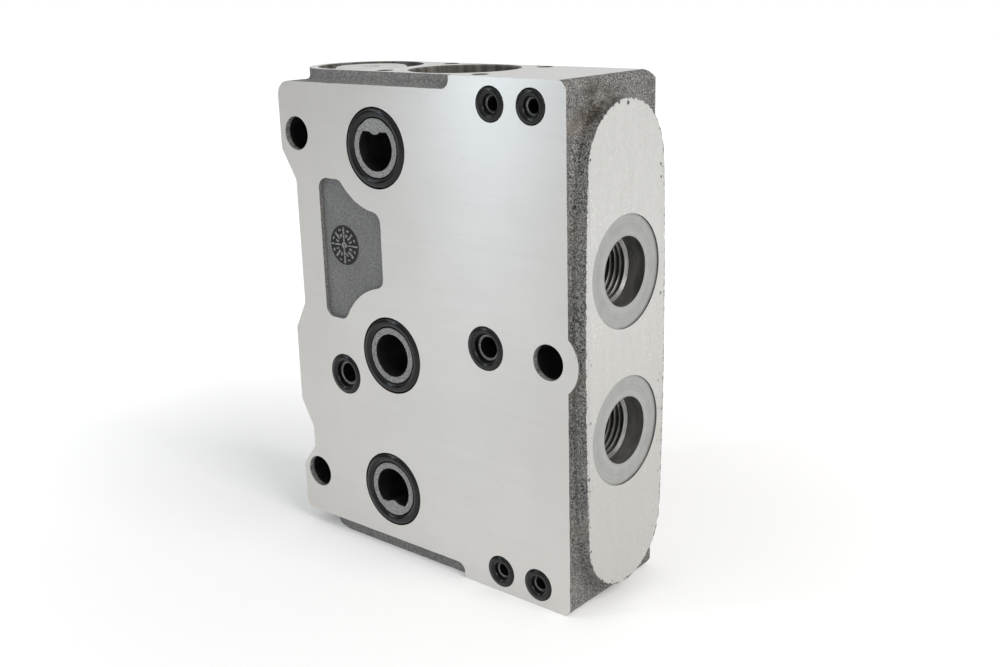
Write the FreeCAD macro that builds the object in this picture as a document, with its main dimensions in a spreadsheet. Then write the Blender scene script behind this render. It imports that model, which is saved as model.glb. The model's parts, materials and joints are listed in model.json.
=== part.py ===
import FreeCAD, Part
import Sketcher
import os

# Hydraulic valve section of a stacked load-sensing valve, in millimetres.
# x runs along the mating face towards the work ports, y through the thickness
# from the sealed front face to the plain back face, z up along the spool.
# Heights are measured from the mid-plane between the two work ports. The whole
# section is lifted at the end, so that it stands on its lower cap face at z = 0.

DIMENSIONS = {
    # casting envelope
    "thickness": 44.0,
    "pad_reach": 62.4,
    "lug_reach": 62.4,
    "top_height": 81.0,
    "bottom_height": 80.5,
    # front outline, from the top lug down to the bottom lug
    "upper_step_drop": 4.0,
    "lower_step_rise": 4.9,
    "step_corner": 14.1,
    "lug_shoulder": 54.7,
    "lug_slope": 10.2,
    "neck_reach": 56.2,
    "bulge_reach": 61.4,
    "bulge_top": 7.5,
    "bulge_bottom": 34.0,
    "bulge_slope": 9.5,
    "lower_shoulder": 58.7,
    "lower_slope": 7.7,
    "lug_corner": 5.0,
    "outline_corner": 3.0,
    # cap plateaus, work-port pad and tie boss
    "plateau_width": 39.2,
    "plateau_inset": 1.6,
    "plateau_fillet": 1.6,
    "pad_width": 38.6,
    "pad_inset_top": 6.1,
    "pad_inset_bottom": 5.6,
    "pad_offset": 0.4,
    "pad_step": 5.4,
    "pad_fillet": 1.8,
    "tie_boss_size": 22.1,
    # tie-rod holes
    "tie_hole_size": 11.1,
    "tie_left_x": 54.4,
    "tie_left_z": 60.1,
    "tie_right_inset": 7.4,
    # ports in the front face and their ring seats
    "tank_port_x": 17.8,
    "tank_port_z": 57.6,
    "tank_passage_size": 14.6,
    "tank_shoulder": 5.1,
    "tank_web_size": 6.4,
    "tank_web_drop": 0.9,
    "pump_port_x": 15.1,
    "pump_port_z": 9.75,
    "pump_passage_size": 14.4,
    "sense_port_x": 37.55,
    "sense_port_z": 20.3,
    "shuttle_port_x": 25.6,
    "small_passage_size": 6.6,
    "pilot_inner_x": 29.7,
    "pilot_outer_x": 44.6,
    "pilot_edge_top": 7.6,
    "pilot_edge_bottom": 7.1,
    "pilot_passage_size": 4.2,
    # sealing rings of the front face
    "large_ring_inside": 18.64,
    "large_ring_cord": 3.53,
    "medium_ring_inside": 8.72,
    "small_ring_inside": 5.23,
    "small_ring_cord": 2.62,
    "ring_proud": 0.5,
    "ring_clearance": 0.04,
    # recess cast into the front face between the tank and pump ports
    "recess_depth": 1.3,
    "recess_left": 45.1,
    "recess_right": 17.2,
    "recess_top": 46.3,
    "recess_bottom": 0.7,
    "recess_tank_rim": 7.7,
    "recess_pump_rim": 9.5,
    "recess_corner": 3.6,
    # spool bore and its chambers
    "spool_x": 1.3,
    "spool_size": 18.0,
    "spool_gap": 0.02,
    "cap_bore_size": 34.5,
    "cap_bore_depth": 5.0,
    "mouth_chamfer": 0.5,
    "chamber_size": 26.0,
    "tank_chamber_width": 9.0,
    "port_chamber_z": 42.0,
    "port_chamber_width": 8.0,
    "bridge_chamber_z": 28.0,
    "bridge_chamber_width": 7.0,
    "meter_chamber_z": 6.0,
    "meter_chamber_width": 8.0,
    "pump_chamber_width": 9.0,
    # spool
    "spool_end_top": 8.0,
    "spool_end_bottom": 7.5,
    "spool_neck_size": 11.0,
    "spool_overlap": 1.5,
    "spool_end_chamfer": 1.0,
    "end_land_length": 9.5,
    "supply_groove_start": 19.0,
    "lower_supply_start": 22.5,
    "meter_groove_end": 13.0,
    "notch_size": 3.2,
    "notch_depth": 1.6,
    "notch_count": 4,
    "spool_drilling_size": 5.0,
    "spool_cross_size": 2.4,
    "spool_cross_z": 16.2,
    "spool_drilling_top": 8.0,
    "spool_plug_size": 8.0,
    "spool_plug_length": 8.0,
    "spool_plug_key": 4.0,
    "spool_screw_size": 6.8,
    "spool_screw_depth": 16.0,
    "balance_groove_width": 0.8,
    "balance_groove_depth": 0.5,
    # compensator bore
    "compensator_x": 40.2,
    "compensator_size": 14.0,
    "compensator_gap": 0.02,
    "compensator_floor": 40.0,
    "cover_recess_size": 34.9,
    "cover_recess_depth": 2.5,
    "plug_thread_size": 20.0,
    "plug_thread_length": 9.5,
    "plug_thread_gap": 0.05,
    "compensator_ring_seat": 22.0,
    "annulus_size": 21.0,
    "outlet_z": 8.5,
    "outlet_width": 7.0,
    # compensator piston, spring and plug
    "piston_top": 40.0,
    "piston_edge": 1.0,
    "piston_bottom": 15.0,
    "piston_neck_size": 7.0,
    "piston_upper_land": 12.0,
    "piston_cup_size": 11.6,
    "piston_cup_depth": 6.0,
    "piston_drilling_size": 3.0,
    "jet_size": 5.0,
    "jet_length": 6.0,
    "jet_hole_size": 0.8,
    "stop_gap": 0.05,
    "spring_wire": 1.5,
    "spring_outside": 10.8,
    "spring_turns": 6.0,
    "plug_head_size": 23.7,
    "plug_head_sink": 0.3,
    "plug_neck_size": 17.5,
    "plug_nose_size": 13.0,
    "plug_key": 6.0,
    "plug_key_depth": 5.0,
    "plug_ring_cord": 1.96,
    # cored and drilled passages between the bores
    "bridge_x": 28.5,
    "bridge_y": 11.0,
    "bridge_passage_size": 7.0,
    "meter_passage_size": 7.0,
    "tank_link_size": 8.0,
    "sense_drilling_size": 2.4,
    # shuttle valve in the small port beside the spool
    "shuttle_ball_size": 5.0,
    "shuttle_step_y": 2.0,
    "shuttle_outlet_size": 4.4,
    "shuttle_seat_hole": 3.6,
    "shuttle_seat_length": 5.0,
    "shuttle_travel": 1.2,
    # work ports
    "work_port_z": 24.7,
    "work_port_y": 0.6,
    "spotface_size": 34.2,
    "spotface_depth": 0.5,
    "thread_size": 21.0,
    "thread_depth": 20.0,
    "work_duct_size": 13.0,
    "work_duct_end": 8.0,
    # tapped holes for the cap screws
    "cap_screw_size": 5.2,
    "cap_screw_depth": 12.0,
    "upper_cap_spread": 39.0,
    "lower_cap_spread": 36.0,
    "cap_screw_row_gap": 30.6,
}

doc = FreeCAD.newDocument("valve_section")
sheet = doc.addObject("Spreadsheet::Sheet", "dim")
for row, (name, value) in enumerate(DIMENSIONS.items(), start=1):
    sheet.set(f"A{row}", name)
    sheet.set(f"B{row}", str(value))
    sheet.setAlias(f"B{row}", name)
doc.recompute()


def size(expression):
    """The number that an expression of sheet values gives."""
    return float(sheet.evalExpression(expression))


def place(item, x="0", y="0", z="0"):
    """Bind an object's place to sheet values, on the section's own datum."""
    item.setExpression("Placement.Base.x", x)
    item.setExpression("Placement.Base.y", y)
    item.setExpression("Placement.Base.z", z)


TURNS = {
    "x": FreeCAD.Rotation(FreeCAD.Vector(0, 1, 0), 90),
    "y": FreeCAD.Rotation(FreeCAD.Vector(1, 0, 0), -90),
    "z": FreeCAD.Rotation(),
}


def rod(name, axis, start, length, diameter):
    """A cylinder that leaves its start point along +x, +y or +z."""
    item = doc.addObject("Part::Cylinder", name)
    item.Placement = FreeCAD.Placement(FreeCAD.Vector(), TURNS[axis])
    item.setExpression("Radius", f"({diameter}) / 2")
    item.setExpression("Height", length)
    place(item, *start)
    return item


def cone(name, axis, start, length, first, second):
    """A cone from its first diameter at the start to its second one."""
    item = doc.addObject("Part::Cone", name)
    item.Placement = FreeCAD.Placement(FreeCAD.Vector(), TURNS[axis])
    item.setExpression("Radius1", f"({first}) / 2")
    item.setExpression("Radius2", f"({second}) / 2")
    item.setExpression("Height", length)
    place(item, *start)
    return item


def block(name, start, length, width, height):
    """A box with its lowest corner at the start point."""
    item = doc.addObject("Part::Box", name)
    item.setExpression("Length", length)
    item.setExpression("Width", width)
    item.setExpression("Height", height)
    place(item, *start)
    return item


def join(name, items):
    """Several solids as one."""
    item = doc.addObject("Part::MultiFuse", name)
    item.Shapes = items
    return item


def cut(name, base, tool):
    """A solid with another taken out of it."""
    item = doc.addObject("Part::Cut", name)
    item.Base = base
    item.Tool = tool
    return item


def origin_plane(body, role):
    """One of a body's own three origin planes."""
    return [plane for plane in body.Origin.OriginFeatures if plane.Role == role][0]


def new_sketch(body, name, role, offset="0"):
    """An empty sketch on one of the body's origin planes, shifted along its normal."""
    sketch = body.newObject("Sketcher::SketchObject", name)
    sketch.AttachmentSupport = [(origin_plane(body, role), "")]
    sketch.MapMode = "FlatFace"
    sketch.setExpression("AttachmentOffset.Base.z", offset)
    return sketch


def bind(sketch, kind, name, expression, *where):
    """A dimension of a sketch, tied to the sheet."""
    row = sketch.addConstraint(Sketcher.Constraint(kind, *where, size(expression)))
    sketch.renameConstraint(row, name)
    sketch.setExpression(f"Constraints.{name}", expression)


def draw_polygon(sketch, corners):
    """A closed outline through corners, each bound to the sheet."""
    points = [FreeCAD.Vector(size(across), size(up), 0) for across, up in corners]
    count = len(corners)
    for i, point in enumerate(points):
        sketch.addGeometry(Part.LineSegment(point, points[(i + 1) % count]))
    for i, (across, up) in enumerate(corners):
        sketch.addConstraint(Sketcher.Constraint("Coincident", i, 2, (i + 1) % count, 1))
        bind(sketch, "DistanceX", f"across{i}", across, -1, 1, i, 1)
        bind(sketch, "DistanceY", f"up{i}", up, -1, 1, i, 1)


def draw_slot(sketch, first, second, radius):
    """A slot with round ends about two centres, each bound to the sheet."""
    start = FreeCAD.Vector(size(first[0]), size(first[1]), 0)
    end = FreeCAD.Vector(size(second[0]), size(second[1]), 0)
    reach = size(radius)
    along = (end - start).normalize()
    side = FreeCAD.Vector(-along.y, along.x, 0) * reach
    angle = FreeCAD.Vector(1, 0, 0).getAngle(along) * (1 if along.y >= 0 else -1)
    quarter = 1.5707963267948966
    up = FreeCAD.Vector(0, 0, 1)
    sketch.addGeometry(
        Part.ArcOfCircle(Part.Circle(start, up, reach), angle + quarter, angle + 3 * quarter)
    )
    sketch.addGeometry(Part.LineSegment(start - side, end - side))
    sketch.addGeometry(
        Part.ArcOfCircle(Part.Circle(end, up, reach), angle - quarter, angle + quarter)
    )
    sketch.addGeometry(Part.LineSegment(end + side, start + side))
    for i in range(4):
        sketch.addConstraint(Sketcher.Constraint("Tangent", i, 2, (i + 1) % 4, 1))
    for arc, centre, word in ((0, first, "first"), (2, second, "second")):
        bind(sketch, "DistanceX", f"{word}_across", centre[0], -1, 1, arc, 3)
        bind(sketch, "DistanceY", f"{word}_up", centre[1], -1, 1, arc, 3)
    bind(sketch, "Radius", "end_radius", radius, 0)


def pad(body, name, sketch, length, midplane=False):
    """A sketch pushed out along its normal."""
    feature = body.newObject("PartDesign::Pad", name)
    feature.Profile = sketch
    feature.setExpression("Length", length)
    feature.Midplane = midplane
    doc.recompute()
    return feature


def edges_where(feature, test):
    """The names of a feature's edges that pass a test on their end points."""
    names = []
    for i, edge in enumerate(feature.Shape.Edges, start=1):
        ends = [vertex.Point for vertex in edge.Vertexes]
        if test(ends):
            names.append(f"Edge{i}")
    return names


def round_edges(body, name, feature, test, radius):
    """A fillet on the edges that pass a test."""
    fillet = body.newObject("PartDesign::Fillet", name)
    fillet.Base = (feature, edges_where(feature, test))
    fillet.setExpression("Radius", radius)
    doc.recompute()
    return fillet


def near(first, second):
    """Whether two lengths are the same, within rounding."""
    return abs(first - second) < 0.01


def corner_at(across, up):
    """A test for the edge through the thickness at one corner of the front outline."""

    def test(ends):
        return len(ends) == 2 and all(
            near(end.x, size(across)) and near(end.z, size(up)) for end in ends
        )

    return test


def turned(name, profile):
    """A body revolved about its z axis from corners given as (radius, height)."""
    body = doc.addObject("PartDesign::Body", name)
    body.Label = name
    sketch = new_sketch(body, f"{name}_profile", "XZ_Plane")
    draw_polygon(sketch, profile)
    revolution = body.newObject("PartDesign::Revolution", f"{name}_turning")
    revolution.Profile = sketch
    revolution.ReferenceAxis = (sketch, ["V_Axis"])
    revolution.Angle = 360
    doc.recompute()
    return body


def hexagon_pocket(body, name, height, across_flats, depth, upward=True):
    """A hexagon socket cut into the end of a turned body."""
    sketch = new_sketch(body, f"{name}_outline", "XY_Plane", height)
    flat = f"({across_flats}) / 2"
    point = f"({across_flats}) / sqrt(3)"
    half = f"({across_flats}) / sqrt(12)"
    draw_polygon(
        sketch,
        [
            (point, "0"),
            (half, flat),
            (f"-({half})", flat),
            (f"-({point})", "0"),
            (f"-({half})", f"-({flat})"),
            (half, f"-({flat})"),
        ],
    )
    pocket = body.newObject("PartDesign::Pocket", name)
    pocket.Profile = sketch
    pocket.setExpression("Length", depth)
    pocket.Reversed = not upward
    doc.recompute()
    return pocket


# Casting: the plate, its cap plateaus, the work-port pad and the tie boss

HALF_THICKNESS = "dim.thickness / 2"
FRONT = "-dim.thickness / 2"
TOP = "dim.top_height"
BOTTOM = "-dim.bottom_height"
UPPER_STEP = "(dim.top_height - dim.upper_step_drop)"
LOWER_STEP = "(dim.lower_step_rise - dim.bottom_height)"
PLATEAU_RADIUS = "dim.plateau_width / 2"
PLATEAU_CENTRE = "dim.plateau_width / 2 + dim.plateau_inset - dim.lug_reach"
PAD_RADIUS = "dim.pad_width / 2"
PAD_TOP_CENTRE = "dim.top_height - dim.pad_inset_top - dim.pad_width / 2"
PAD_BOTTOM_CENTRE = "dim.pad_inset_bottom + dim.pad_width / 2 - dim.bottom_height"
END_REACH = "(dim.pad_reach - dim.pad_step)"
TIE_RIGHT_X = "(dim.pad_reach - dim.pad_step - dim.tie_right_inset)"
TANK_X = "-dim.tank_port_x"
PUMP_X = "-dim.pump_port_x"
COMPENSATOR_X = "-dim.compensator_x"

OUTLINE = [
    (END_REACH, TOP),
    ("dim.step_corner", TOP),
    ("dim.step_corner", UPPER_STEP),
    ("-dim.lug_reach", UPPER_STEP),
    ("-dim.lug_reach", "dim.lug_shoulder"),
    ("-dim.neck_reach", "dim.lug_shoulder - dim.lug_slope"),
    ("-dim.neck_reach", "dim.bulge_slope - dim.bulge_top"),
    ("-dim.bulge_reach", "-dim.bulge_top"),
    ("-dim.bulge_reach", "-dim.bulge_bottom"),
    ("-dim.neck_reach", "-dim.bulge_bottom - dim.bulge_slope"),
    ("-dim.neck_reach", "dim.lower_slope - dim.lower_shoulder"),
    ("-dim.lug_reach", "-dim.lower_shoulder"),
    ("-dim.lug_reach", LOWER_STEP),
    ("dim.step_corner", LOWER_STEP),
    ("dim.step_corner", BOTTOM),
    (END_REACH, BOTTOM),
]

casting = doc.addObject("PartDesign::Body", "casting")
outline = new_sketch(casting, "front_outline", "XZ_Plane")
draw_polygon(outline, OUTLINE)
plate = pad(casting, "plate", outline, "dim.thickness", midplane=True)


def any_corner(corners):
    """A test for the through-thickness edges at several corners of the outline."""
    tests = [corner_at(*corner) for corner in corners]
    return lambda ends: any(test(ends) for test in tests)


plate = round_edges(casting, "lug_corner_fillet", plate, corner_at(*OUTLINE[3]), "dim.lug_corner")
plate = round_edges(
    casting,
    "outline_fillets",
    plate,
    any_corner(OUTLINE[0:1] + OUTLINE[2:3] + OUTLINE[4:14] + OUTLINE[15:16]),
    "dim.outline_corner",
)

for word, low, height in (
    ("upper", f"{UPPER_STEP} - dim.lug_corner", "dim.upper_step_drop + dim.lug_corner"),
    ("lower", BOTTOM, "dim.lower_step_rise + dim.lug_corner"),
):
    plateau_outline = new_sketch(casting, f"{word}_plateau_outline", "XY_Plane", low)
    draw_slot(
        plateau_outline,
        (PLATEAU_CENTRE, "0"),
        (f"dim.step_corner + {PLATEAU_RADIUS}", "0"),
        PLATEAU_RADIUS,
    )
    plateau = pad(casting, f"{word}_plateau", plateau_outline, height)

pad_outline = new_sketch(casting, "port_pad_outline", "YZ_Plane", f"{END_REACH} - 1")
draw_slot(
    pad_outline,
    ("-dim.pad_offset", PAD_BOTTOM_CENTRE),
    ("-dim.pad_offset", PAD_TOP_CENTRE),
    PAD_RADIUS,
)
port_pad = pad(casting, "port_pad", pad_outline, "dim.pad_step + 1")


def at_foot_of_pad(ends):
    """The edges where the work-port pad rises out of the plate's end."""
    return all(
        near(end.x, size(END_REACH)) and abs(end.y) < size(HALF_THICKNESS) - 0.01
        for end in ends
    )


round_edges(casting, "pad_root_fillet", port_pad, at_foot_of_pad, "dim.pad_fillet")

boss_outline = new_sketch(casting, "tie_boss_outline", "XZ_Plane")
boss_centre = FreeCAD.Vector(size(TIE_RIGHT_X), 0, 0)
boss_outline.addGeometry(
    Part.Circle(boss_centre, FreeCAD.Vector(0, 0, 1), size("dim.tie_boss_size / 2"))
)
bind(boss_outline, "DistanceX", "across", TIE_RIGHT_X, -1, 1, 0, 3)
bind(boss_outline, "DistanceY", "up", "0", -1, 1, 0, 3)
bind(boss_outline, "Radius", "boss_radius", "dim.tie_boss_size / 2", 0)
tie_boss = pad(casting, "tie_boss", boss_outline, "dim.thickness", midplane=True)


def at_foot_of_plateau(ends):
    """The edges where a plateau's wall rises out of the plate's cast ledge."""
    return all(
        near(end.z, size(UPPER_STEP)) or near(end.z, size(LOWER_STEP))
        for end in ends
    ) and all(
        abs(end.y) < size(HALF_THICKNESS) - 0.01 and end.x < size("dim.step_corner") + 0.01
        for end in ends
    )


round_edges(casting, "plateau_fillets", tie_boss, at_foot_of_plateau, "dim.plateau_fillet")

BEVEL = f"({HALF_THICKNESS} - {PLATEAU_RADIUS})"
BEVEL_CORNERS = [
    (f"{HALF_THICKNESS} + 1", f"{TOP} - {BEVEL} - 1", f"{TOP} + 1"),
    (f"{HALF_THICKNESS} + 1", f"{BOTTOM} + {BEVEL} + 1", f"{BOTTOM} - 1"),
]
for word, (outer, shoulder, beyond) in zip(("upper", "lower"), BEVEL_CORNERS):
    bevel_outline = new_sketch(casting, f"{word}_bevel_outline", "YZ_Plane", "dim.step_corner")
    draw_polygon(
        bevel_outline,
        [(outer, shoulder), (outer, beyond), (f"{PLATEAU_RADIUS} - 1", beyond)],
    )
    bevel = casting.newObject("PartDesign::Pocket", f"{word}_bevel")
    bevel.Profile = bevel_outline
    bevel.setExpression("Length", f"{END_REACH} - dim.step_corner + 1")
    bevel.Reversed = True
    doc.recompute()

# Ports of the front face: ring seats, passages and tie-rod holes

LARGE_SEAT_SIZE = "dim.large_ring_inside + 2 * dim.large_ring_cord + 2 * dim.ring_clearance"
MEDIUM_SEAT_SIZE = "dim.medium_ring_inside + 2 * dim.small_ring_cord + 2 * dim.ring_clearance"
SMALL_SEAT_SIZE = "dim.small_ring_inside + 2 * dim.small_ring_cord + 2 * dim.ring_clearance"

PILOT_TOP = "dim.top_height - dim.pilot_edge_top"
PILOT_BOTTOM = "dim.pilot_edge_bottom - dim.bottom_height"

PORTS = [
    ("upper_tank", TANK_X, "dim.tank_port_z", "large"),
    ("pump", PUMP_X, "-dim.pump_port_z", "large"),
    ("lower_tank", TANK_X, "-dim.tank_port_z", "large"),
    ("load_sensing", "-dim.sense_port_x", "-dim.sense_port_z", "medium"),
    ("shuttle", "dim.shuttle_port_x", "0", "medium"),
    ("upper_inner_pilot", "dim.pilot_inner_x", PILOT_TOP, "small"),
    ("upper_outer_pilot", "dim.pilot_outer_x", PILOT_TOP, "small"),
    ("lower_inner_pilot", "dim.pilot_inner_x", PILOT_BOTTOM, "small"),
    ("lower_outer_pilot", "dim.pilot_outer_x", PILOT_BOTTOM, "small"),
]
SEAT_SIZES = {"large": LARGE_SEAT_SIZE, "medium": MEDIUM_SEAT_SIZE, "small": SMALL_SEAT_SIZE}
RING_INSIDES = {
    "large": "dim.large_ring_inside",
    "medium": "dim.medium_ring_inside",
    "small": "dim.small_ring_inside",
}
RING_CORDS = {
    "large": "dim.large_ring_cord",
    "medium": "dim.small_ring_cord",
    "small": "dim.small_ring_cord",
}

bores = []
housing = casting


def through(name, x, z, diameter):
    """A hole through the whole thickness."""
    return rod(name, "y", (x, FRONT, z), "dim.thickness", diameter)


def machine(name):
    """The housing with the bores gathered so far taken out of it, ready for the next ones."""
    machined = cut(name, housing, join(f"{name}_tools", list(bores)))
    bores.clear()
    return machined


for port, x, z, ring in PORTS:
    seat_depth = f"{RING_CORDS[ring]} - dim.ring_proud"
    bores.append(rod(f"{port}_ring_seat", "y", (x, FRONT, z), seat_depth, SEAT_SIZES[ring]))

for word, x, z in (
    ("upper_left", "-dim.tie_left_x", "dim.tie_left_z"),
    ("lower_left", "-dim.tie_left_x", "-dim.tie_left_z"),
    ("right", TIE_RIGHT_X, "0"),
):
    bores.append(through(f"{word}_tie_hole", x, z, "dim.tie_hole_size"))

bores.append(through("pump_passage", PUMP_X, "-dim.pump_port_z", "dim.pump_passage_size"))
bores.append(
    through("sense_passage", "-dim.sense_port_x", "-dim.sense_port_z", "dim.small_passage_size")
)
for port, x, z, ring in PORTS[5:]:
    bores.append(through(f"{port}_passage", x, z, "dim.pilot_passage_size"))

housing = machine("ported")

# Tank passages: round, with a flattened outer side and a web that bulges into it

for word, side in (("upper", 1), ("lower", -1)):
    centre = f"{side} * dim.tank_port_z"
    round_part = through(f"{word}_tank_round", TANK_X, centre, "dim.tank_passage_size")
    shoulder_low = "dim.tank_shoulder" if side > 0 else "-dim.tank_shoulder - dim.tank_passage_size"
    shoulder = block(
        f"{word}_tank_shoulder",
        (f"{TANK_X} - dim.tank_passage_size", FRONT, f"{centre} + {shoulder_low}"),
        "2 * dim.tank_passage_size",
        "dim.thickness",
        "dim.tank_passage_size",
    )
    web_rise = f"{side} * (dim.tank_shoulder + dim.tank_web_size / 2 - dim.tank_web_drop)"
    web = through(f"{word}_tank_web", TANK_X, f"{centre} + {web_rise}", "dim.tank_web_size")
    closed_side = join(f"{word}_tank_closed_side", [shoulder, web])
    bores.append(cut(f"{word}_tank_passage", round_part, closed_side))

housing = machine("tank_ported")

# Shallow recess cast between the upper tank port and the pump port

recess_field = block(
    "recess_field",
    ("-dim.recess_left", FRONT, "-dim.recess_bottom"),
    "dim.recess_left - dim.recess_right",
    "dim.recess_depth",
    "dim.recess_top + dim.recess_bottom",
)
recess_rims = join(
    "recess_rims",
    [
        rod(
            "recess_tank_side",
            "y",
            (TANK_X, FRONT, "dim.tank_port_z"),
            "dim.recess_depth",
            f"{LARGE_SEAT_SIZE} + 2 * dim.recess_tank_rim",
        ),
        rod(
            "recess_pump_side",
            "y",
            (PUMP_X, FRONT, "-dim.pump_port_z"),
            "dim.recess_depth",
            f"{LARGE_SEAT_SIZE} + 2 * dim.recess_pump_rim",
        ),
    ],
)
recess_sharp = cut("recess_sharp", recess_field, recess_rims)
doc.recompute()
recess = doc.addObject("Part::Fillet", "recess")
recess.Base = recess_sharp
recess.Edges = [
    (i, size("dim.recess_corner"), size("dim.recess_corner"))
    for i, edge in enumerate(recess_sharp.Shape.Edges, start=1)
    if len(edge.Vertexes) == 2
    and near(edge.Vertexes[0].X, edge.Vertexes[1].X)
    and near(edge.Vertexes[0].Z, edge.Vertexes[1].Z)
]
housing = cut("recessed", housing, recess)

# Spool bore: the cap bores at both ends and the chambers cut into its wall

BORE_END_TOP = "dim.top_height - dim.cap_bore_depth"
SPOOL_X = "dim.spool_x"

bores.append(
    rod("spool_bore", "z", (SPOOL_X, "0", BOTTOM), f"{TOP} + dim.bottom_height", "dim.spool_size")
)
for word, low in (("upper", BORE_END_TOP), ("lower", BOTTOM)):
    bores.append(
        rod(f"{word}_cap_bore", "z", (SPOOL_X, "0", low), "dim.cap_bore_depth", "dim.cap_bore_size")
    )
CAP_MOUTH = "dim.cap_bore_size + 2 * dim.mouth_chamfer"
bores.append(
    cone("upper_cap_mouth", "z", (SPOOL_X, "0", f"{TOP} - dim.mouth_chamfer"), "dim.mouth_chamfer",
         "dim.cap_bore_size", CAP_MOUTH)
)
bores.append(
    cone("lower_cap_mouth", "z", (SPOOL_X, "0", BOTTOM), "dim.mouth_chamfer", CAP_MOUTH,
         "dim.cap_bore_size")
)

CHAMBERS = [
    ("upper_tank", "dim.tank_port_z", "dim.tank_chamber_width"),
    ("upper_port", "dim.port_chamber_z", "dim.port_chamber_width"),
    ("upper_bridge", "dim.bridge_chamber_z", "dim.bridge_chamber_width"),
    ("meter", "dim.meter_chamber_z", "dim.meter_chamber_width"),
    ("pump", "-dim.pump_port_z", "dim.pump_chamber_width"),
    ("lower_bridge", "-dim.bridge_chamber_z", "dim.bridge_chamber_width"),
    ("lower_port", "-dim.port_chamber_z", "dim.port_chamber_width"),
    ("lower_tank", "-dim.tank_port_z", "dim.tank_chamber_width"),
]
for word, centre, width in CHAMBERS:
    bores.append(
        rod(f"{word}_chamber", "z", (SPOOL_X, "0", f"{centre} - {width} / 2"), width, "dim.chamber_size")
    )

housing = machine("spool_bored")

# Compensator bore, blind from the top, with its cover recess and two annular chambers

PLUG_SEAT = "dim.top_height - dim.cover_recess_depth"
RING_SEAT_FLOOR = f"{PLUG_SEAT} - dim.plug_ring_cord - dim.ring_clearance"
PLUG_THREAD_END = f"({PLUG_SEAT} - dim.plug_thread_length)"
COMPENSATOR_FLOOR = "-dim.compensator_floor"

bores.append(
    rod("cover_recess", "z", (COMPENSATOR_X, "0", PLUG_SEAT), "dim.cover_recess_depth",
        "dim.cover_recess_size")
)
bores.append(
    rod("plug_ring_seat", "z", (COMPENSATOR_X, "0", RING_SEAT_FLOOR), f"{PLUG_SEAT} - ({RING_SEAT_FLOOR})",
        "dim.compensator_ring_seat")
)
bores.append(
    rod("plug_thread_bore", "z", (COMPENSATOR_X, "0", PLUG_THREAD_END),
        "dim.plug_thread_length", "dim.plug_thread_size")
)
bores.append(
    rod("compensator_bore", "z", (COMPENSATOR_X, "0", COMPENSATOR_FLOOR),
        f"{PLUG_SEAT} + dim.compensator_floor", "dim.compensator_size")
)
bores.append(
    rod("compensator_inlet", "z",
        (COMPENSATOR_X, "0", "dim.meter_chamber_z - dim.meter_chamber_width / 2"),
        "dim.meter_chamber_width", "dim.annulus_size")
)
bores.append(
    rod("compensator_outlet", "z", (COMPENSATOR_X, "0", "-dim.outlet_z - dim.outlet_width / 2"),
        "dim.outlet_width", "dim.annulus_size")
)

housing = machine("compensator_bored")

# Passages between the two bores

bores.append(
    rod("meter_passage", "x", (COMPENSATOR_X, "0", "dim.meter_chamber_z"),
        "dim.compensator_x + dim.spool_x", "dim.meter_passage_size")
)
bores.append(
    rod("outlet_passage", "x", (COMPENSATOR_X, "dim.bridge_y", "-dim.outlet_z"),
        "dim.compensator_x - dim.bridge_x", "dim.bridge_passage_size")
)
bores.append(
    rod("bridge_passage", "z", ("-dim.bridge_x", "dim.bridge_y", "-dim.bridge_chamber_z"),
        "2 * dim.bridge_chamber_z", "dim.bridge_passage_size")
)
for word, side in (("upper", ""), ("lower", "-")):
    bores.append(
        rod(f"{word}_bridge_link", "x", ("-dim.bridge_x", "dim.bridge_y", f"{side}dim.bridge_chamber_z"),
            "dim.bridge_x + dim.spool_x", "dim.bridge_passage_size")
    )
    bores.append(
        rod(f"{word}_tank_link", "x", (TANK_X, "0", f"{side}dim.tank_port_z"),
            "dim.tank_port_x + dim.spool_x", "dim.tank_link_size")
    )

# Shuttle passage: wide from the front as far as its step, then narrow to the back face

bores.append(
    rod("shuttle_passage", "y", ("dim.shuttle_port_x", FRONT, "0"),
        f"{HALF_THICKNESS} + dim.shuttle_step_y", "dim.small_passage_size")
)
bores.append(
    rod("shuttle_outlet", "y", ("dim.shuttle_port_x", "dim.shuttle_step_y", "0"),
        f"{HALF_THICKNESS} - dim.shuttle_step_y", "dim.shuttle_outlet_size")
)
bores.append(
    rod("sense_drilling", "x", (SPOOL_X, "0", "0"), "dim.shuttle_port_x - dim.spool_x",
        "dim.sense_drilling_size")
)

housing = machine("cored")

# Work ports: spotface, threaded bore and a duct that slopes out to the spool chamber

PORT_FLOOR = "dim.pad_reach - dim.thread_depth"
for word, side in (("upper", 1), ("lower", -1)):
    centre = f"{side} * dim.work_port_z"
    spot_start = "dim.pad_reach - dim.spotface_depth"
    bores.append(
        rod(f"{word}_spotface", "x", (spot_start, "-dim.work_port_y", centre), "dim.spotface_depth",
            "dim.spotface_size")
    )
    bores.append(
        rod(f"{word}_thread_bore", "x", (PORT_FLOOR, "-dim.work_port_y", centre), "dim.thread_depth",
            "dim.thread_size")
    )
    run = f"{PORT_FLOOR} - dim.work_duct_end"
    rise = "(dim.port_chamber_z - dim.work_port_z)"
    duct = doc.addObject("Part::Cylinder", f"{word}_work_duct")
    duct.setExpression("Radius", "dim.work_duct_size / 2")
    duct.setExpression("Height", f"sqrt(({run}) ^ 2 + {rise} ^ 2)")
    duct.setExpression("Placement.Rotation.Axis.y", "1")
    duct.setExpression("Placement.Rotation.Axis.z", "0")
    duct.setExpression("Placement.Rotation.Angle", f"90 deg + {side} * atan({rise} / ({run}))")
    place(duct, "dim.work_duct_end", "0", f"{side} * dim.port_chamber_z")
    bores.append(duct)

housing = machine("work_ported")

# Tapped holes for the cap screws, four in each cap face around the spool bore

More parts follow.
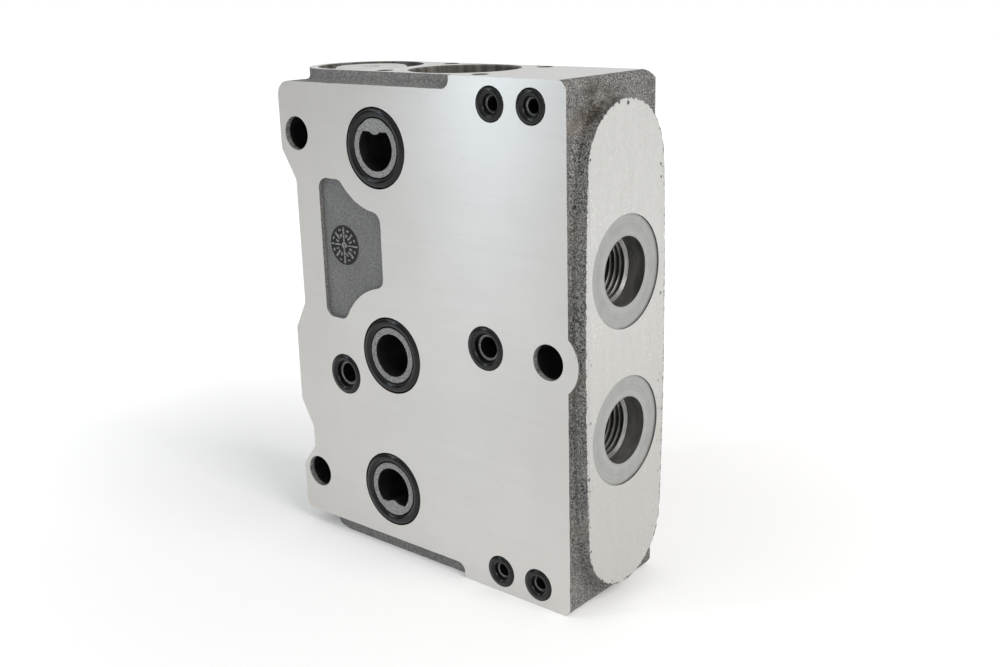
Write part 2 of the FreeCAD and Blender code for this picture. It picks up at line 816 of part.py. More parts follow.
for word, low, spread in (
    ("upper", f"{TOP} - dim.cap_screw_depth", "dim.upper_cap_spread"),
    ("lower", BOTTOM, "dim.lower_cap_spread"),
):
    for across in (-1, 1):
        for deep in (-1, 1):
            bores.append(
                rod(f"{word}_cap_screw_{across + 1}{deep + 1}", "z",
                    (f"{SPOOL_X} + {across} * {spread} / 2",
                     f"{deep} * dim.cap_screw_row_gap / 2", low),
                    "dim.cap_screw_depth", "dim.cap_screw_size")
            )

housing = machine("tapped")
housing.Label = "housing"

# Sealing rings in the front face

subparts = [housing]


def sealing_ring(name, inside, cord, x, y, z, axis):
    """A rubber ring of round cord, lying square to an axis."""
    ring = doc.addObject("Part::Torus", name)
    ring.Label = name
    ring.Placement = FreeCAD.Placement(FreeCAD.Vector(), TURNS[axis])
    ring.setExpression("Radius1", f"({inside} + {cord}) / 2")
    ring.setExpression("Radius2", f"{cord} / 2")
    place(ring, x, y, z)
    return ring


for port, x, z, ring in PORTS:
    cord = RING_CORDS[ring]
    ring_y = f"{FRONT} + {cord} / 2 - dim.ring_proud"
    subparts.append(sealing_ring(f"{port}_ring", RING_INSIDES[ring], cord, x, ring_y, z, "y"))

# Main spool: lands, grooves, metering notches and its drillings

LAND = "dim.spool_size / 2 - dim.spool_gap"
NECK = "dim.spool_neck_size / 2"
SPOOL_TOP = "(dim.top_height - dim.spool_end_top)"
SPOOL_BOTTOM = "(dim.spool_end_bottom - dim.bottom_height)"
UPPER_GROOVE_END = f"({SPOOL_TOP} - dim.end_land_length)"
LOWER_GROOVE_END = f"({SPOOL_BOTTOM} + dim.end_land_length)"
PORT_OUTER = "dim.port_chamber_z + dim.port_chamber_width / 2"
PORT_INNER = "dim.port_chamber_z - dim.port_chamber_width / 2"
RETURN_EDGE = f"{PORT_OUTER} + dim.spool_overlap"
SUPPLY_EDGE = f"{PORT_INNER} - dim.spool_overlap"
METER_EDGE = "dim.pump_chamber_width / 2 - dim.pump_port_z + dim.spool_overlap"


def groove(low, high, floor=NECK):
    """The four profile corners of a groove in the spool, from its upper edge down."""
    return [(LAND, high), (floor, high), (floor, low), (LAND, low)]


def balance_groove(centre):
    """A narrow groove that keeps the spool centred in its bore."""
    half = "dim.balance_groove_width / 2"
    return groove(f"{centre} - {half}", f"{centre} + {half}", f"{LAND} - dim.balance_groove_depth")


spool_profile = [("0", SPOOL_TOP), (f"{LAND} - dim.spool_end_chamfer", SPOOL_TOP)]
spool_profile += [(LAND, f"{SPOOL_TOP} - dim.spool_end_chamfer")]
spool_profile += balance_groove(f"({SPOOL_TOP} + {UPPER_GROOVE_END}) / 2")
spool_profile += groove(RETURN_EDGE, UPPER_GROOVE_END)
spool_profile += groove("dim.supply_groove_start", SUPPLY_EDGE)
spool_profile += groove(METER_EDGE, "dim.meter_groove_end")
spool_profile += balance_groove(f"({METER_EDGE} - dim.lower_supply_start) / 2")
spool_profile += groove(f"-({SUPPLY_EDGE})", "-dim.lower_supply_start")
spool_profile += groove(LOWER_GROOVE_END, f"-({RETURN_EDGE})")
spool_profile += balance_groove(f"({SPOOL_BOTTOM} + {LOWER_GROOVE_END}) / 2")
spool_profile += [(LAND, f"{SPOOL_BOTTOM} + dim.spool_end_chamfer")]
spool_profile += [(f"{LAND} - dim.spool_end_chamfer", SPOOL_BOTTOM), ("0", SPOOL_BOTTOM)]

spool = turned("main_spool", spool_profile)

notch_outline = new_sketch(spool, "notch_outline", "YZ_Plane", f"{LAND} - dim.notch_depth")
NOTCH_EDGES = [
    RETURN_EDGE,
    SUPPLY_EDGE,
    METER_EDGE,
    f"-({SUPPLY_EDGE})",
    f"-({RETURN_EDGE})",
]
for i, edge in enumerate(NOTCH_EDGES):
    centre = FreeCAD.Vector(0, size(edge), 0)
    notch_outline.addGeometry(
        Part.Circle(centre, FreeCAD.Vector(0, 0, 1), size("dim.notch_size / 2"))
    )
    bind(notch_outline, "DistanceX", f"across{i}", "0", -1, 1, i, 3)
    bind(notch_outline, "DistanceY", f"up{i}", edge, -1, 1, i, 3)
    bind(notch_outline, "Radius", f"radius{i}", "dim.notch_size / 2", i)
notches = spool.newObject("PartDesign::Pocket", "notches")
notches.Profile = notch_outline
notches.setExpression("Length", "2 * dim.notch_depth")
notches.Reversed = True
doc.recompute()
notch_ring = spool.newObject("PartDesign::PolarPattern", "notch_ring")
notch_ring.Originals = [notches]
notch_ring.Axis = (notch_outline, ["V_Axis"])
notch_ring.Angle = 360
notch_ring.setExpression("Occurrences", "dim.notch_count")
doc.recompute()
spool.Tip = notch_ring

spool_drilling = rod(
    "spool_drilling", "z", ("0", "0", SPOOL_BOTTOM), f"dim.spool_drilling_top - {SPOOL_BOTTOM}",
    "dim.spool_drilling_size",
)
spool_plug_hole = rod(
    "spool_plug_hole", "z", ("0", "0", SPOOL_BOTTOM), "dim.spool_plug_length", "dim.spool_plug_size"
)
spool_screw_hole = rod(
    "spool_screw_hole", "z", ("0", "0", f"{SPOOL_TOP} - dim.spool_screw_depth"),
    "dim.spool_screw_depth", "dim.spool_screw_size",
)
cross_drillings = []
for word, height in (("pump", "-dim.spool_cross_z"), ("meter", "dim.meter_chamber_z")):
    for axis, start in (("x", (f"-{LAND}", "0", height)), ("y", ("0", f"-({LAND})", height))):
        cross_drillings.append(
            rod(f"{word}_cross_{axis}", axis, start, f"2 * ({LAND})", "dim.spool_cross_size")
        )
main_spool = cut(
    "drilled_spool",
    spool,
    join("spool_bores", [spool_drilling, spool_plug_hole, spool_screw_hole] + cross_drillings),
)
spool.Label = "spool_blank"
main_spool.Label = "main_spool"
place(main_spool, SPOOL_X)
subparts.append(main_spool)

SPOOL_PLUG_RADIUS = "dim.spool_plug_size / 2 - dim.ring_clearance"
spool_plug = turned(
    "spool_plug",
    [
        ("0", "0"),
        (SPOOL_PLUG_RADIUS, "0"),
        (SPOOL_PLUG_RADIUS, "dim.spool_plug_length - dim.ring_clearance"),
        ("0", "dim.spool_plug_length - dim.ring_clearance"),
    ],
)
hexagon_pocket(spool_plug, "spool_plug_socket", "0", "dim.spool_plug_key", "dim.spool_plug_length / 2", False)
place(spool_plug, SPOOL_X, "0", SPOOL_BOTTOM)
subparts.append(spool_plug)

# Compensator piston with its orifice jet

PISTON = "dim.compensator_size / 2 - dim.compensator_gap"
PISTON_NECK = "dim.piston_neck_size / 2"
JET_HOLE = "dim.jet_size / 2"
DRILLING = "dim.piston_drilling_size / 2"
CUP = "dim.piston_cup_size / 2"
PISTON_TOP = "dim.piston_top"
PISTON_BOTTOM = "-dim.piston_bottom"
DRILLING_FLOOR = "dim.meter_chamber_z - dim.piston_drilling_size"
piston_body = turned(
    "piston_blank",
    [
        (JET_HOLE, PISTON_TOP),
        (PISTON, PISTON_TOP),
        (PISTON, f"{PISTON_TOP} - dim.piston_upper_land"),
        (PISTON_NECK, f"{PISTON_TOP} - dim.piston_upper_land"),
        (PISTON_NECK, "dim.piston_edge"),
        (PISTON, "dim.piston_edge"),
        (PISTON, PISTON_BOTTOM),
        (CUP, PISTON_BOTTOM),
        (CUP, f"{PISTON_BOTTOM} + dim.piston_cup_depth"),
        ("0", f"{PISTON_BOTTOM} + dim.piston_cup_depth"),
        ("0", DRILLING_FLOOR),
        (DRILLING, DRILLING_FLOOR),
        (DRILLING, f"{PISTON_TOP} - dim.jet_length"),
        (JET_HOLE, f"{PISTON_TOP} - dim.jet_length"),
    ],
)
piston_cross = rod(
    "piston_cross", "x", (f"-({PISTON})", "0", "dim.meter_chamber_z"), f"2 * ({PISTON})",
    "dim.piston_drilling_size",
)
compensator_piston = cut("drilled_piston", piston_body, piston_cross)
compensator_piston.Label = "compensator_piston"
place(compensator_piston, COMPENSATOR_X)
subparts.append(compensator_piston)

JET_RADIUS = f"{JET_HOLE} - dim.ring_clearance"
orifice_jet = turned(
    "orifice_jet",
    [
        ("dim.jet_hole_size / 2", f"{PISTON_TOP} - dim.jet_length + dim.ring_clearance"),
        (JET_RADIUS, f"{PISTON_TOP} - dim.jet_length + dim.ring_clearance"),
        (JET_RADIUS, f"{PISTON_TOP} - dim.stop_gap"),
        ("dim.jet_hole_size / 2", f"{PISTON_TOP} - dim.stop_gap"),
    ],
)
hexagon_pocket(
    orifice_jet, "jet_socket", f"{PISTON_TOP} - dim.stop_gap", "dim.jet_size / 2", "dim.jet_length / 3"
)
place(orifice_jet, COMPENSATOR_X)
subparts.append(orifice_jet)

# Compensator spring: closed coils at both ends, standing between the bore's floor and the piston

spring_low = size(COMPENSATOR_FLOOR)
spring_high = size(f"{PISTON_BOTTOM} + dim.piston_cup_depth")
wire = size("dim.spring_wire / 2")
coil = size("dim.spring_outside / 2") - wire
spring_gap = size("dim.stop_gap")
rise = spring_high - spring_low - 2 * wire - 2 * spring_gap
pitch = rise / size("dim.spring_turns")
helix = Part.makeHelix(pitch, rise, coil)
section = Part.Wire(
    Part.makeCircle(wire, FreeCAD.Vector(coil, 0, 0), FreeCAD.Vector(0, 1, 0))
)
coils = Part.Wire(helix).makePipeShell([section], True, True)
end_coil = Part.makeTorus(coil, wire)
top_coil = Part.makeTorus(coil, wire, FreeCAD.Vector(0, 0, rise))
spring = doc.addObject("Part::Feature", "compensator_spring")
spring.Label = "compensator_spring"
spring.Shape = coils.fuse([end_coil, top_coil])
place(spring, COMPENSATOR_X, "0", f"{COMPENSATOR_FLOOR} + dim.spring_wire / 2 + dim.stop_gap")
subparts.append(spring)

# Compensator plug with its sealing ring

HEAD = "dim.plug_head_size / 2"
THREAD = "dim.plug_thread_size / 2 - dim.plug_thread_gap"
PLUG_NECK = "dim.plug_neck_size / 2"
NOSE = "dim.plug_nose_size / 2"
HEAD_TOP = "dim.top_height - dim.plug_head_sink"
THREAD_START = f"{PLUG_THREAD_END} + dim.plug_thread_gap"
NOSE_END = f"{PISTON_TOP} + dim.stop_gap"
compensator_plug = turned(
    "compensator_plug",
    [
        ("0", HEAD_TOP),
        (f"{HEAD} - dim.mouth_chamfer", HEAD_TOP),
        (HEAD, f"{HEAD_TOP} - dim.mouth_chamfer"),
        (HEAD, PLUG_SEAT),
        (PLUG_NECK, PLUG_SEAT),
        (PLUG_NECK, RING_SEAT_FLOOR),
        (THREAD, RING_SEAT_FLOOR),
        (THREAD, THREAD_START),
        (NOSE, THREAD_START),
        (NOSE, NOSE_END),
        ("0", NOSE_END),
    ],
)
hexagon_pocket(compensator_plug, "plug_socket", HEAD_TOP, "dim.plug_key", "dim.plug_key_depth")
place(compensator_plug, COMPENSATOR_X)
subparts.append(compensator_plug)

PLUG_RING_Z = f"{RING_SEAT_FLOOR} + dim.plug_ring_cord / 2 + dim.ring_clearance / 2"
PLUG_RING_INSIDE = "dim.plug_neck_size + 2 * dim.ring_clearance"
subparts.append(
    sealing_ring("plug_ring", PLUG_RING_INSIDE, "dim.plug_ring_cord", COMPENSATOR_X, "0", PLUG_RING_Z, "z")
)

# Shuttle valve: a pressed-in seat and a ball that crosses between it and the bore's step

BALL = "(dim.shuttle_ball_size / 2)"
SEAT_HOLE = "(dim.shuttle_seat_hole / 2)"
STEP_HOLE = "(dim.shuttle_outlet_size / 2)"
BALL_FAR_Y = f"dim.shuttle_step_y - sqrt({BALL} ^ 2 - {STEP_HOLE} ^ 2) - dim.stop_gap"
BALL_Y = f"{BALL_FAR_Y} - dim.shuttle_travel"
SEAT_FACE_Y = f"{BALL_Y} - sqrt({BALL} ^ 2 - {SEAT_HOLE} ^ 2) - dim.stop_gap"

seat_ring = rod(
    "seat_ring", "y", ("dim.shuttle_port_x", f"{SEAT_FACE_Y} - dim.shuttle_seat_length", "0"),
    "dim.shuttle_seat_length", "dim.small_passage_size",
)
seat_hole = rod(
    "seat_hole", "y", ("dim.shuttle_port_x", f"{SEAT_FACE_Y} - dim.shuttle_seat_length", "0"),
    "dim.shuttle_seat_length", "dim.shuttle_seat_hole",
)
shuttle_seat = cut("shuttle_seat", seat_ring, seat_hole)
shuttle_seat.Label = "shuttle_seat"
subparts.append(shuttle_seat)

shuttle_ball = doc.addObject("Part::Sphere", "shuttle_ball")
shuttle_ball.Label = "shuttle_ball"
shuttle_ball.setExpression("Radius", BALL)
place(shuttle_ball, "dim.shuttle_port_x", BALL_Y, "0")
subparts.append(shuttle_ball)

doc.recompute()

# Check every object, then lift the section onto its lower cap face and write each sub-part

for item in doc.Objects:
    if "Invalid" in item.State or "Error" in item.State:
        raise RuntimeError(f"{item.Name} failed: {item.State}")
lift = FreeCAD.Vector(0, size("dim.ring_proud / 2"), size("dim.bottom_height"))
os.makedirs("parts", exist_ok=True)
for item in subparts:
    shape = item.Shape
    if shape.isNull() or not shape.isValid():
        raise RuntimeError(f"{item.Label} has no valid shape")
    lifted = shape.copy()
    lifted.translate(lift)
    lifted.exportStep(f"parts/{item.Label}.step")
    print(item.Label, round(shape.Volume, 1), len(shape.Solids), len(shape.Faces))
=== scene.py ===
"""Looks of a hydraulic valve section: cast block, sealing rings, port threads and inner parts."""

import json
import logging
import math
from collections.abc import Iterable
from dataclasses import dataclass, field
from enum import Enum

import bmesh
import bpy
from mathutils import Matrix, Vector, noise

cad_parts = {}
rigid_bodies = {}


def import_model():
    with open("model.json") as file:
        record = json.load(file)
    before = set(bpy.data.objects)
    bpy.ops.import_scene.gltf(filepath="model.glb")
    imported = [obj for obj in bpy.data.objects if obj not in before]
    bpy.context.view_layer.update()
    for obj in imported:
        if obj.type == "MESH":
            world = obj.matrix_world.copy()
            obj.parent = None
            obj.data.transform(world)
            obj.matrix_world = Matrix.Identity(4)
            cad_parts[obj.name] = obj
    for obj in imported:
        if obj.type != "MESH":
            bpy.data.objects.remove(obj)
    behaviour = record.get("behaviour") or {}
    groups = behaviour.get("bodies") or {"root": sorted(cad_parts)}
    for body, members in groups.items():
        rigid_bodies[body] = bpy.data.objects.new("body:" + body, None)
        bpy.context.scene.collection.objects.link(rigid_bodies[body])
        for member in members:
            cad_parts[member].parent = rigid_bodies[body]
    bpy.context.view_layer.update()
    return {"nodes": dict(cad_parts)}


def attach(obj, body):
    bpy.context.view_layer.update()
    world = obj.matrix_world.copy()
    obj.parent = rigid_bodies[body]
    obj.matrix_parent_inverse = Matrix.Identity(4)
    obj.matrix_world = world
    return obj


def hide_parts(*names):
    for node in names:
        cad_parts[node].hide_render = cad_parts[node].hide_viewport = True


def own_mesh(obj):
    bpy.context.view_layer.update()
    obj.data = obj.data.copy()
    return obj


for leftover in list(bpy.data.objects):
    bpy.data.objects.remove(leftover)
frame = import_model()

logging.basicConfig(level=logging.INFO, format="%(message)s")
LOG = logging.getLogger("valve_section")
MM = 0.001

Pair = tuple[float, float]
Triple = tuple[float, float, float]
Colour = tuple[float, float, float, float]
Socket = bpy.types.NodeSocket
Node = bpy.types.Node
NodeTree = bpy.types.NodeTree
Material = bpy.types.Material
Piece = bpy.types.Object
WorkMesh = bmesh.types.BMesh
Value = Socket | float
Tint = Socket | Colour


class Region(Enum):
    """What was done to a face of the casting, in the order of its material slots."""

    CAST = 0
    FRONT = 1
    CAP = 2
    PAD = 3
    SPOTFACE = 4
    SEAT = 5
    BORE = 6
    TIE_HOLE = 7
    MOUTH = 8
    PORT = 9
    RECESS = 10
    BORED_FLOOR = 11


class Axis(Enum):
    """The direction a round feature runs in."""

    X = 0
    Y = 1
    Z = 2


def grey(value: float) -> Colour:
    """Give a grey as a colour."""
    return (value, value, value, 1)


@dataclass(frozen=True)
class Layout:
    """Places that several classes share, in millimetres, in the row's own frame.

    A seat has its centre's x and z and its groove's outer radius.
    """

    front_y: float = -21.75
    back_y: float = 22.25
    top_z: float = 161.5
    pad_x: float = 62.4
    middle_y: float = 0.25
    middle_z: float = 80.5
    port_y: float = -0.35
    port_rise: float = 24.7
    pad_y: float = -0.15
    pad_run: float = 55.6
    pad_bow: float = 1.35
    cap_x: float = 1.3
    screw_spreads: Pair = (39.0, 36.0)
    screw_gap: float = 30.6
    seats: dict[str, Triple] = field(
        default_factory=lambda: {
            "upper_tank": (-17.8, 138.1, 12.95),
            "pump": (-15.1, 70.75, 12.95),
            "lower_tank": (-17.8, 22.9, 12.95),
            "load_sensing": (-37.55, 60.2, 7.1),
            "shuttle": (25.6, 80.5, 7.1),
            "upper_inner_pilot": (29.7, 153.9, 5.35),
            "upper_outer_pilot": (44.6, 153.9, 5.35),
            "lower_inner_pilot": (29.7, 7.1, 5.35),
            "lower_outer_pilot": (44.6, 7.1, 5.35),
        }
    )

    @property
    def ports(self) -> dict[str, float]:
        """Give the height of each work port."""
        return {"upper": self.middle_z + self.port_rise, "lower": self.middle_z - self.port_rise}


LAYOUT = Layout()
PORT_CENTRE = (0.0, LAYOUT.port_y * MM, LAYOUT.port_rise * MM)


def link(piece: Piece) -> Piece:
    """Put a piece into the scene and hand it back."""
    bpy.context.scene.collection.objects.link(piece)
    return piece


def socket_setter(node: Node, **values: object) -> Node:
    """Set a node's input sockets by their names, with underscores for spaces.

    Args:
        node: The node to set up.
        values: Plain values, by socket name.

    Returns:
        The same node.
    """
    for name, value in values.items():
        node.inputs[name.replace("_", " ")].default_value = value
    return node


@dataclass
class Graph:
    """A small helper that adds and wires nodes in one node tree."""

    tree: NodeTree

    def add(self, kind: str, **values: object) -> Node:
        """Add a node of a kind and set its sockets by name."""
        return socket_setter(self.tree.nodes.new(kind), **values)

    def wire(self, source: Socket, target: Socket) -> None:
        """Join an output to an input."""
        self.tree.links.new(source, target)

    def math(self, operation: str, first: Value, second: Value = 0.0) -> Socket:
        """Add a Math node.

        Args:
            operation: The node's operation, such as MULTIPLY.
            first: A socket or a number for the first input.
            second: A socket or a number for the second input.

        Returns:
            The node's output socket.
        """
        node = self.tree.nodes.new("ShaderNodeMath")
        node.operation = operation
        for slot, value in enumerate((first, second)):
            if isinstance(value, Socket):
                self.wire(value, node.inputs[slot])
            else:
                node.inputs[slot].default_value = value
        return node.outputs[0]

    def plus(self, first: Value, second: Value) -> Socket:
        """Add two values."""
        return self.math("ADD", first, second)

    def minus(self, first: Value, second: Value) -> Socket:
        """Take the second value from the first."""
        return self.math("SUBTRACT", first, second)

    def times(self, first: Value, second: Value) -> Socket:
        """Multiply two values."""
        return self.math("MULTIPLY", first, second)

    def step(self, value: Socket, low: float, high: float) -> Socket:
        """Add a smooth step from 0 at low to 1 at high.

        Args:
            value: The socket that is measured.
            low: The value that gives 0.
            high: The value that gives 1.

        Returns:
            The step's output socket.
        """
        node = self.tree.nodes.new("ShaderNodeMapRange")
        node.interpolation_type = "SMOOTHSTEP"
        self.wire(value, node.inputs["Value"])
        socket_setter(node, From_Min=low, From_Max=high)
        return node.outputs["Result"]

    def blend(self, factor: Value, first: Tint, second: Tint) -> Socket:
        """Add a colour mix.

        Args:
            factor: A socket or a number, 0 for the first colour.
            first: A socket or a colour.
            second: A socket or a colour.

        Returns:
            The mixed colour's socket.
        """
        node = self.tree.nodes.new("ShaderNodeMix")
        node.data_type = "RGBA"
        for slot, value in ((0, factor), (6, first), (7, second)):
            if isinstance(value, Socket):
                self.wire(value, node.inputs[slot])
            else:
                node.inputs[slot].default_value = value
        return node.outputs[2]

    def noise(self, vector: Socket, scale: float, detail: float = 4.0) -> Socket:
        """Add a noise texture.

        Args:
            vector: Where it is looked up.
            scale: Its cells per metre.
            detail: Its octaves.

        Returns:
            The noise's value socket.
        """
        node = self.add("ShaderNodeTexNoise", Scale=scale, Detail=detail)
        self.wire(vector, node.inputs["Vector"])
        return node.outputs["Fac"]

    def split(self, vector: Socket) -> Node:
        """Take a vector apart into X, Y and Z.

        Args:
            vector: The vector.

        Returns:
            The node with the outputs X, Y and Z.
        """
        node = self.add("ShaderNodeSeparateXYZ")
        self.wire(vector, node.inputs["Vector"])
        return node

    def measure(self, operation: str, vector: Socket, other: Triple = (0.0, 0.0, 0.0)) -> Socket:
        """Add a Vector Math node that gives a number.

        Args:
            operation: The node's operation, such as DISTANCE.
            vector: The vector's socket.
            other: The second vector.

        Returns:
            The number's socket.
        """
        node = self.add("ShaderNodeVectorMath")
        node.operation = operation
        self.wire(vector, node.inputs[0])
        node.inputs[1].default_value = other
        return node.outputs["Value"]

    def stretched(self, vector: Socket, stretch: Triple) -> Socket:
        """Scale a vector along each axis, so that a texture is drawn out.

        Args:
            vector: The coordinates.
            stretch: The factor along x, y and z.

        Returns:
            The scaled vector's socket.
        """
        node = self.add("ShaderNodeMapping", Scale=stretch)
        self.wire(vector, node.inputs["Vector"])
        return node.outputs["Vector"]


def wrap(
    work: WorkMesh, loops: list[list[bmesh.types.BMVert]], closed: bool = True
) -> list[list[bmesh.types.BMFace]]:
    """Join loops of equal length into a skin.

    Args:
        work: The mesh that is built.
        loops: The loops, each a closed row of vertices.
        closed: Whether the last loop joins the first.

    Returns:
        The faces, by their place round the loops.
    """
    count = len(loops[0])
    bands = [[] for _ in range(count)]
    for here, there in zip(loops, loops[1:] + (loops[:1] if closed else [])):
        for j in range(count):
            k = (j + 1) % count
            bands[j].append(work.faces.new((here[j], here[k], there[k], there[j])))
    return bands


def hang(
    name: str, work: WorkMesh, materials: list[Material], sharp: float, body: str
) -> Piece:
    """Turn a work mesh into a piece of the casting's iron that rides on a body.

    Args:
        name: The piece's name.
        work: Its mesh, which is freed.
        materials: Its finishes, in the order of their slots.
        sharp: The angle, in degrees, above which an edge is sharp.
        body: The body it moves with.

    Returns:
        The piece.
    """
    bmesh.ops.recalc_face_normals(work, faces=work.faces)
    mesh = bpy.data.meshes.new(name)
    work.to_mesh(mesh)
    work.free()
    mesh.set_sharp_from_angle(angle=math.radians(sharp))
    for material in materials:
        mesh.materials.append(material)
    piece = link(bpy.data.objects.new(name, mesh))
    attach(piece, body)
    LOG.info("built %s", name)
    return piece


def new_group(
    name: str, inputs: dict[str, object], outputs: dict[str, str]
) -> tuple[NodeTree, Graph, Node, Node]:
    """Make an empty shader node group.

    Args:
        name: The group's name.
        inputs: Default values by input name; the name Vector makes a vector socket.
        outputs: Socket types by output name.

    Returns:
        The group, its graph, and its input and output nodes.
    """
    tree = bpy.data.node_groups.new(name, "ShaderNodeTree")
    for socket, value in inputs.items():
        kind = "NodeSocketVector" if socket == "Vector" else "NodeSocketFloat"
        if isinstance(value, tuple):
            kind = "NodeSocketColor"
        made = tree.interface.new_socket(socket, in_out="INPUT", socket_type=kind)
        if value is not None:
            made.default_value = value
    for socket, kind in outputs.items():
        tree.interface.new_socket(socket, in_out="OUTPUT", socket_type=kind)
    graph = Graph(tree)
    return tree, graph, graph.add("NodeGroupInput"), graph.add("NodeGroupOutput")


def make_sand_skin() -> NodeTree:
    """Build the group for a sand-cast skin.

    Returns:
        A group that gives a mottled colour, a roughness and a height.
    """
    tree, g, source, sink = new_group(
        "sand_skin",
        {"Vector": None, "Dark": grey(0.04), "Light": grey(0.3),
         "Warm": (0.2, 0.15, 0.1, 1), "Warmth": 0.1, "Contrast": 1.0},
        {"Color": "NodeSocketColor", "Roughness": "NodeSocketFloat", "Height": "NodeSocketFloat"},
    )
    where = source.outputs["Vector"]
    grains = g.add("ShaderNodeTexVoronoi", Scale=1500.0)
    g.wire(where, grains.inputs["Vector"])
    fine = g.noise(where, 2300.0, 4.0)
    middle = g.noise(where, 1100.0, 4.0)
    broad = g.noise(where, 70.0, 3.0)
    speck = g.step(fine, 0.4, 0.62)
    cloud = g.step(middle, 0.36, 0.66)
    tone = g.plus(g.times(speck, 0.7), g.times(cloud, 0.3))
    tone = g.times(g.minus(tone, 0.5), source.outputs["Contrast"])
    tone = g.plus(tone, g.times(g.plus(broad, 0.5), 0.5))
    colour = g.blend(tone, source.outputs["Dark"], source.outputs["Light"])
    patches = g.times(g.step(broad, 0.52, 0.72), source.outputs["Warmth"])
    colour = g.blend(patches, colour, source.outputs["Warm"])
    g.wire(colour, sink.inputs["Color"])
    g.wire(g.plus(0.52, g.times(middle, 0.34)), sink.inputs["Roughness"])
    relief = g.plus(g.times(fine, 0.5), g.times(middle, 0.9))
    relief = g.minus(relief, g.times(grains.outputs["Distance"], 0.55))
    g.wire(relief, sink.inputs["Height"])
    return tree


def make_tool_marks() -> NodeTree:
    """Build the group for fine parallel cutter marks.

    Returns:
        A group that gives a streak value and a height.
    """
    tree, g, source, sink = new_group(
        "tool_marks", {"Vector": None}, {"Streak": "NodeSocketFloat", "Height": "NodeSocketFloat"}
    )
    where = source.outputs["Vector"]
    fine = g.noise(where, 1.0, 3.0)
    coarse = g.noise(where, 0.22, 2.0)
    streak = g.plus(g.times(fine, 0.6), g.times(coarse, 0.4))
    g.wire(streak, sink.inputs["Streak"])
    g.wire(fine, sink.inputs["Height"])
    return tree


def make_pits() -> NodeTree:
    """Build the group for scattered pores in a machined casting.

    Returns:
        A group that gives a mask, 1 inside a pore.
    """
    tree, g, source, sink = new_group(
        "pores", {"Vector": None, "Spacing": 420.0, "Size": 0.12}, {"Mask": "NodeSocketFloat"}
    )
    cells = g.add("ShaderNodeTexVoronoi")
    g.wire(source.outputs["Vector"], cells.inputs["Vector"])
    g.wire(source.outputs["Spacing"], cells.inputs["Scale"])
    split = g.add("ShaderNodeSeparateColor")
    g.wire(cells.outputs["Color"], split.inputs["Color"])
    reach = g.times(g.math("POWER", split.outputs["Red"], 6.0), source.outputs["Size"])
    reach = g.times(reach, g.plus(0.6, g.noise(source.outputs["Vector"], 2600.0)))
    g.wire(g.math("LESS_THAN", cells.outputs["Distance"], reach), sink.inputs["Mask"])
    return tree


SAND_SKIN = make_sand_skin()
TOOL_MARKS = make_tool_marks()
PORES = make_pits()


@dataclass(frozen=True)
class Finish:
    """A finish: a named material with a Principled shader and a bump."""

    name: str

    def start(self, **values: object) -> tuple[Material, Graph, Node]:
        """Make the material with its shader.

        Args:
            values: Constant values for the shader's sockets.

        Returns:
            The material, its graph and its Principled shader.
        """
        material = bpy.data.materials.new(self.name)
        material.use_nodes = True
        graph = Graph(material.node_tree)
        shader = material.node_tree.nodes["Principled BSDF"]
        socket_setter(shader, **values)
        return material, graph, shader

    @staticmethod
    def place(graph: Graph) -> Socket:
        """Give the piece's own coordinates, in metres."""
        return graph.add("ShaderNodeTexCoord").outputs["Object"]

    @staticmethod
    def group(graph: Graph, tree: NodeTree, where: Socket, **values: object) -> Node:
        """Put a node group into a material.

        Args:
            graph: The material's graph.
            tree: The group.
            where: The socket for the group's Vector.
            values: Constant values for its other inputs.

        Returns:
            The group node.
        """
        node = graph.tree.nodes.new("ShaderNodeGroup")
        node.node_tree = tree
        graph.wire(where, node.inputs["Vector"])
        return socket_setter(node, **values)

    @staticmethod
    def bump(graph: Graph, height: Socket, shader: Node, depth: float) -> None:
        """Feed a height into the shader's normal.

        Args:
            graph: The material's graph.
            height: The height's socket.
            shader: The Principled shader.
            depth: How deep a height of 1 is, in metres.
        """
        node = graph.add("ShaderNodeBump", Strength=1.0, Distance=depth)
        graph.wire(height, node.inputs["Height"])
        graph.wire(node.outputs["Normal"], shader.inputs["Normal"])


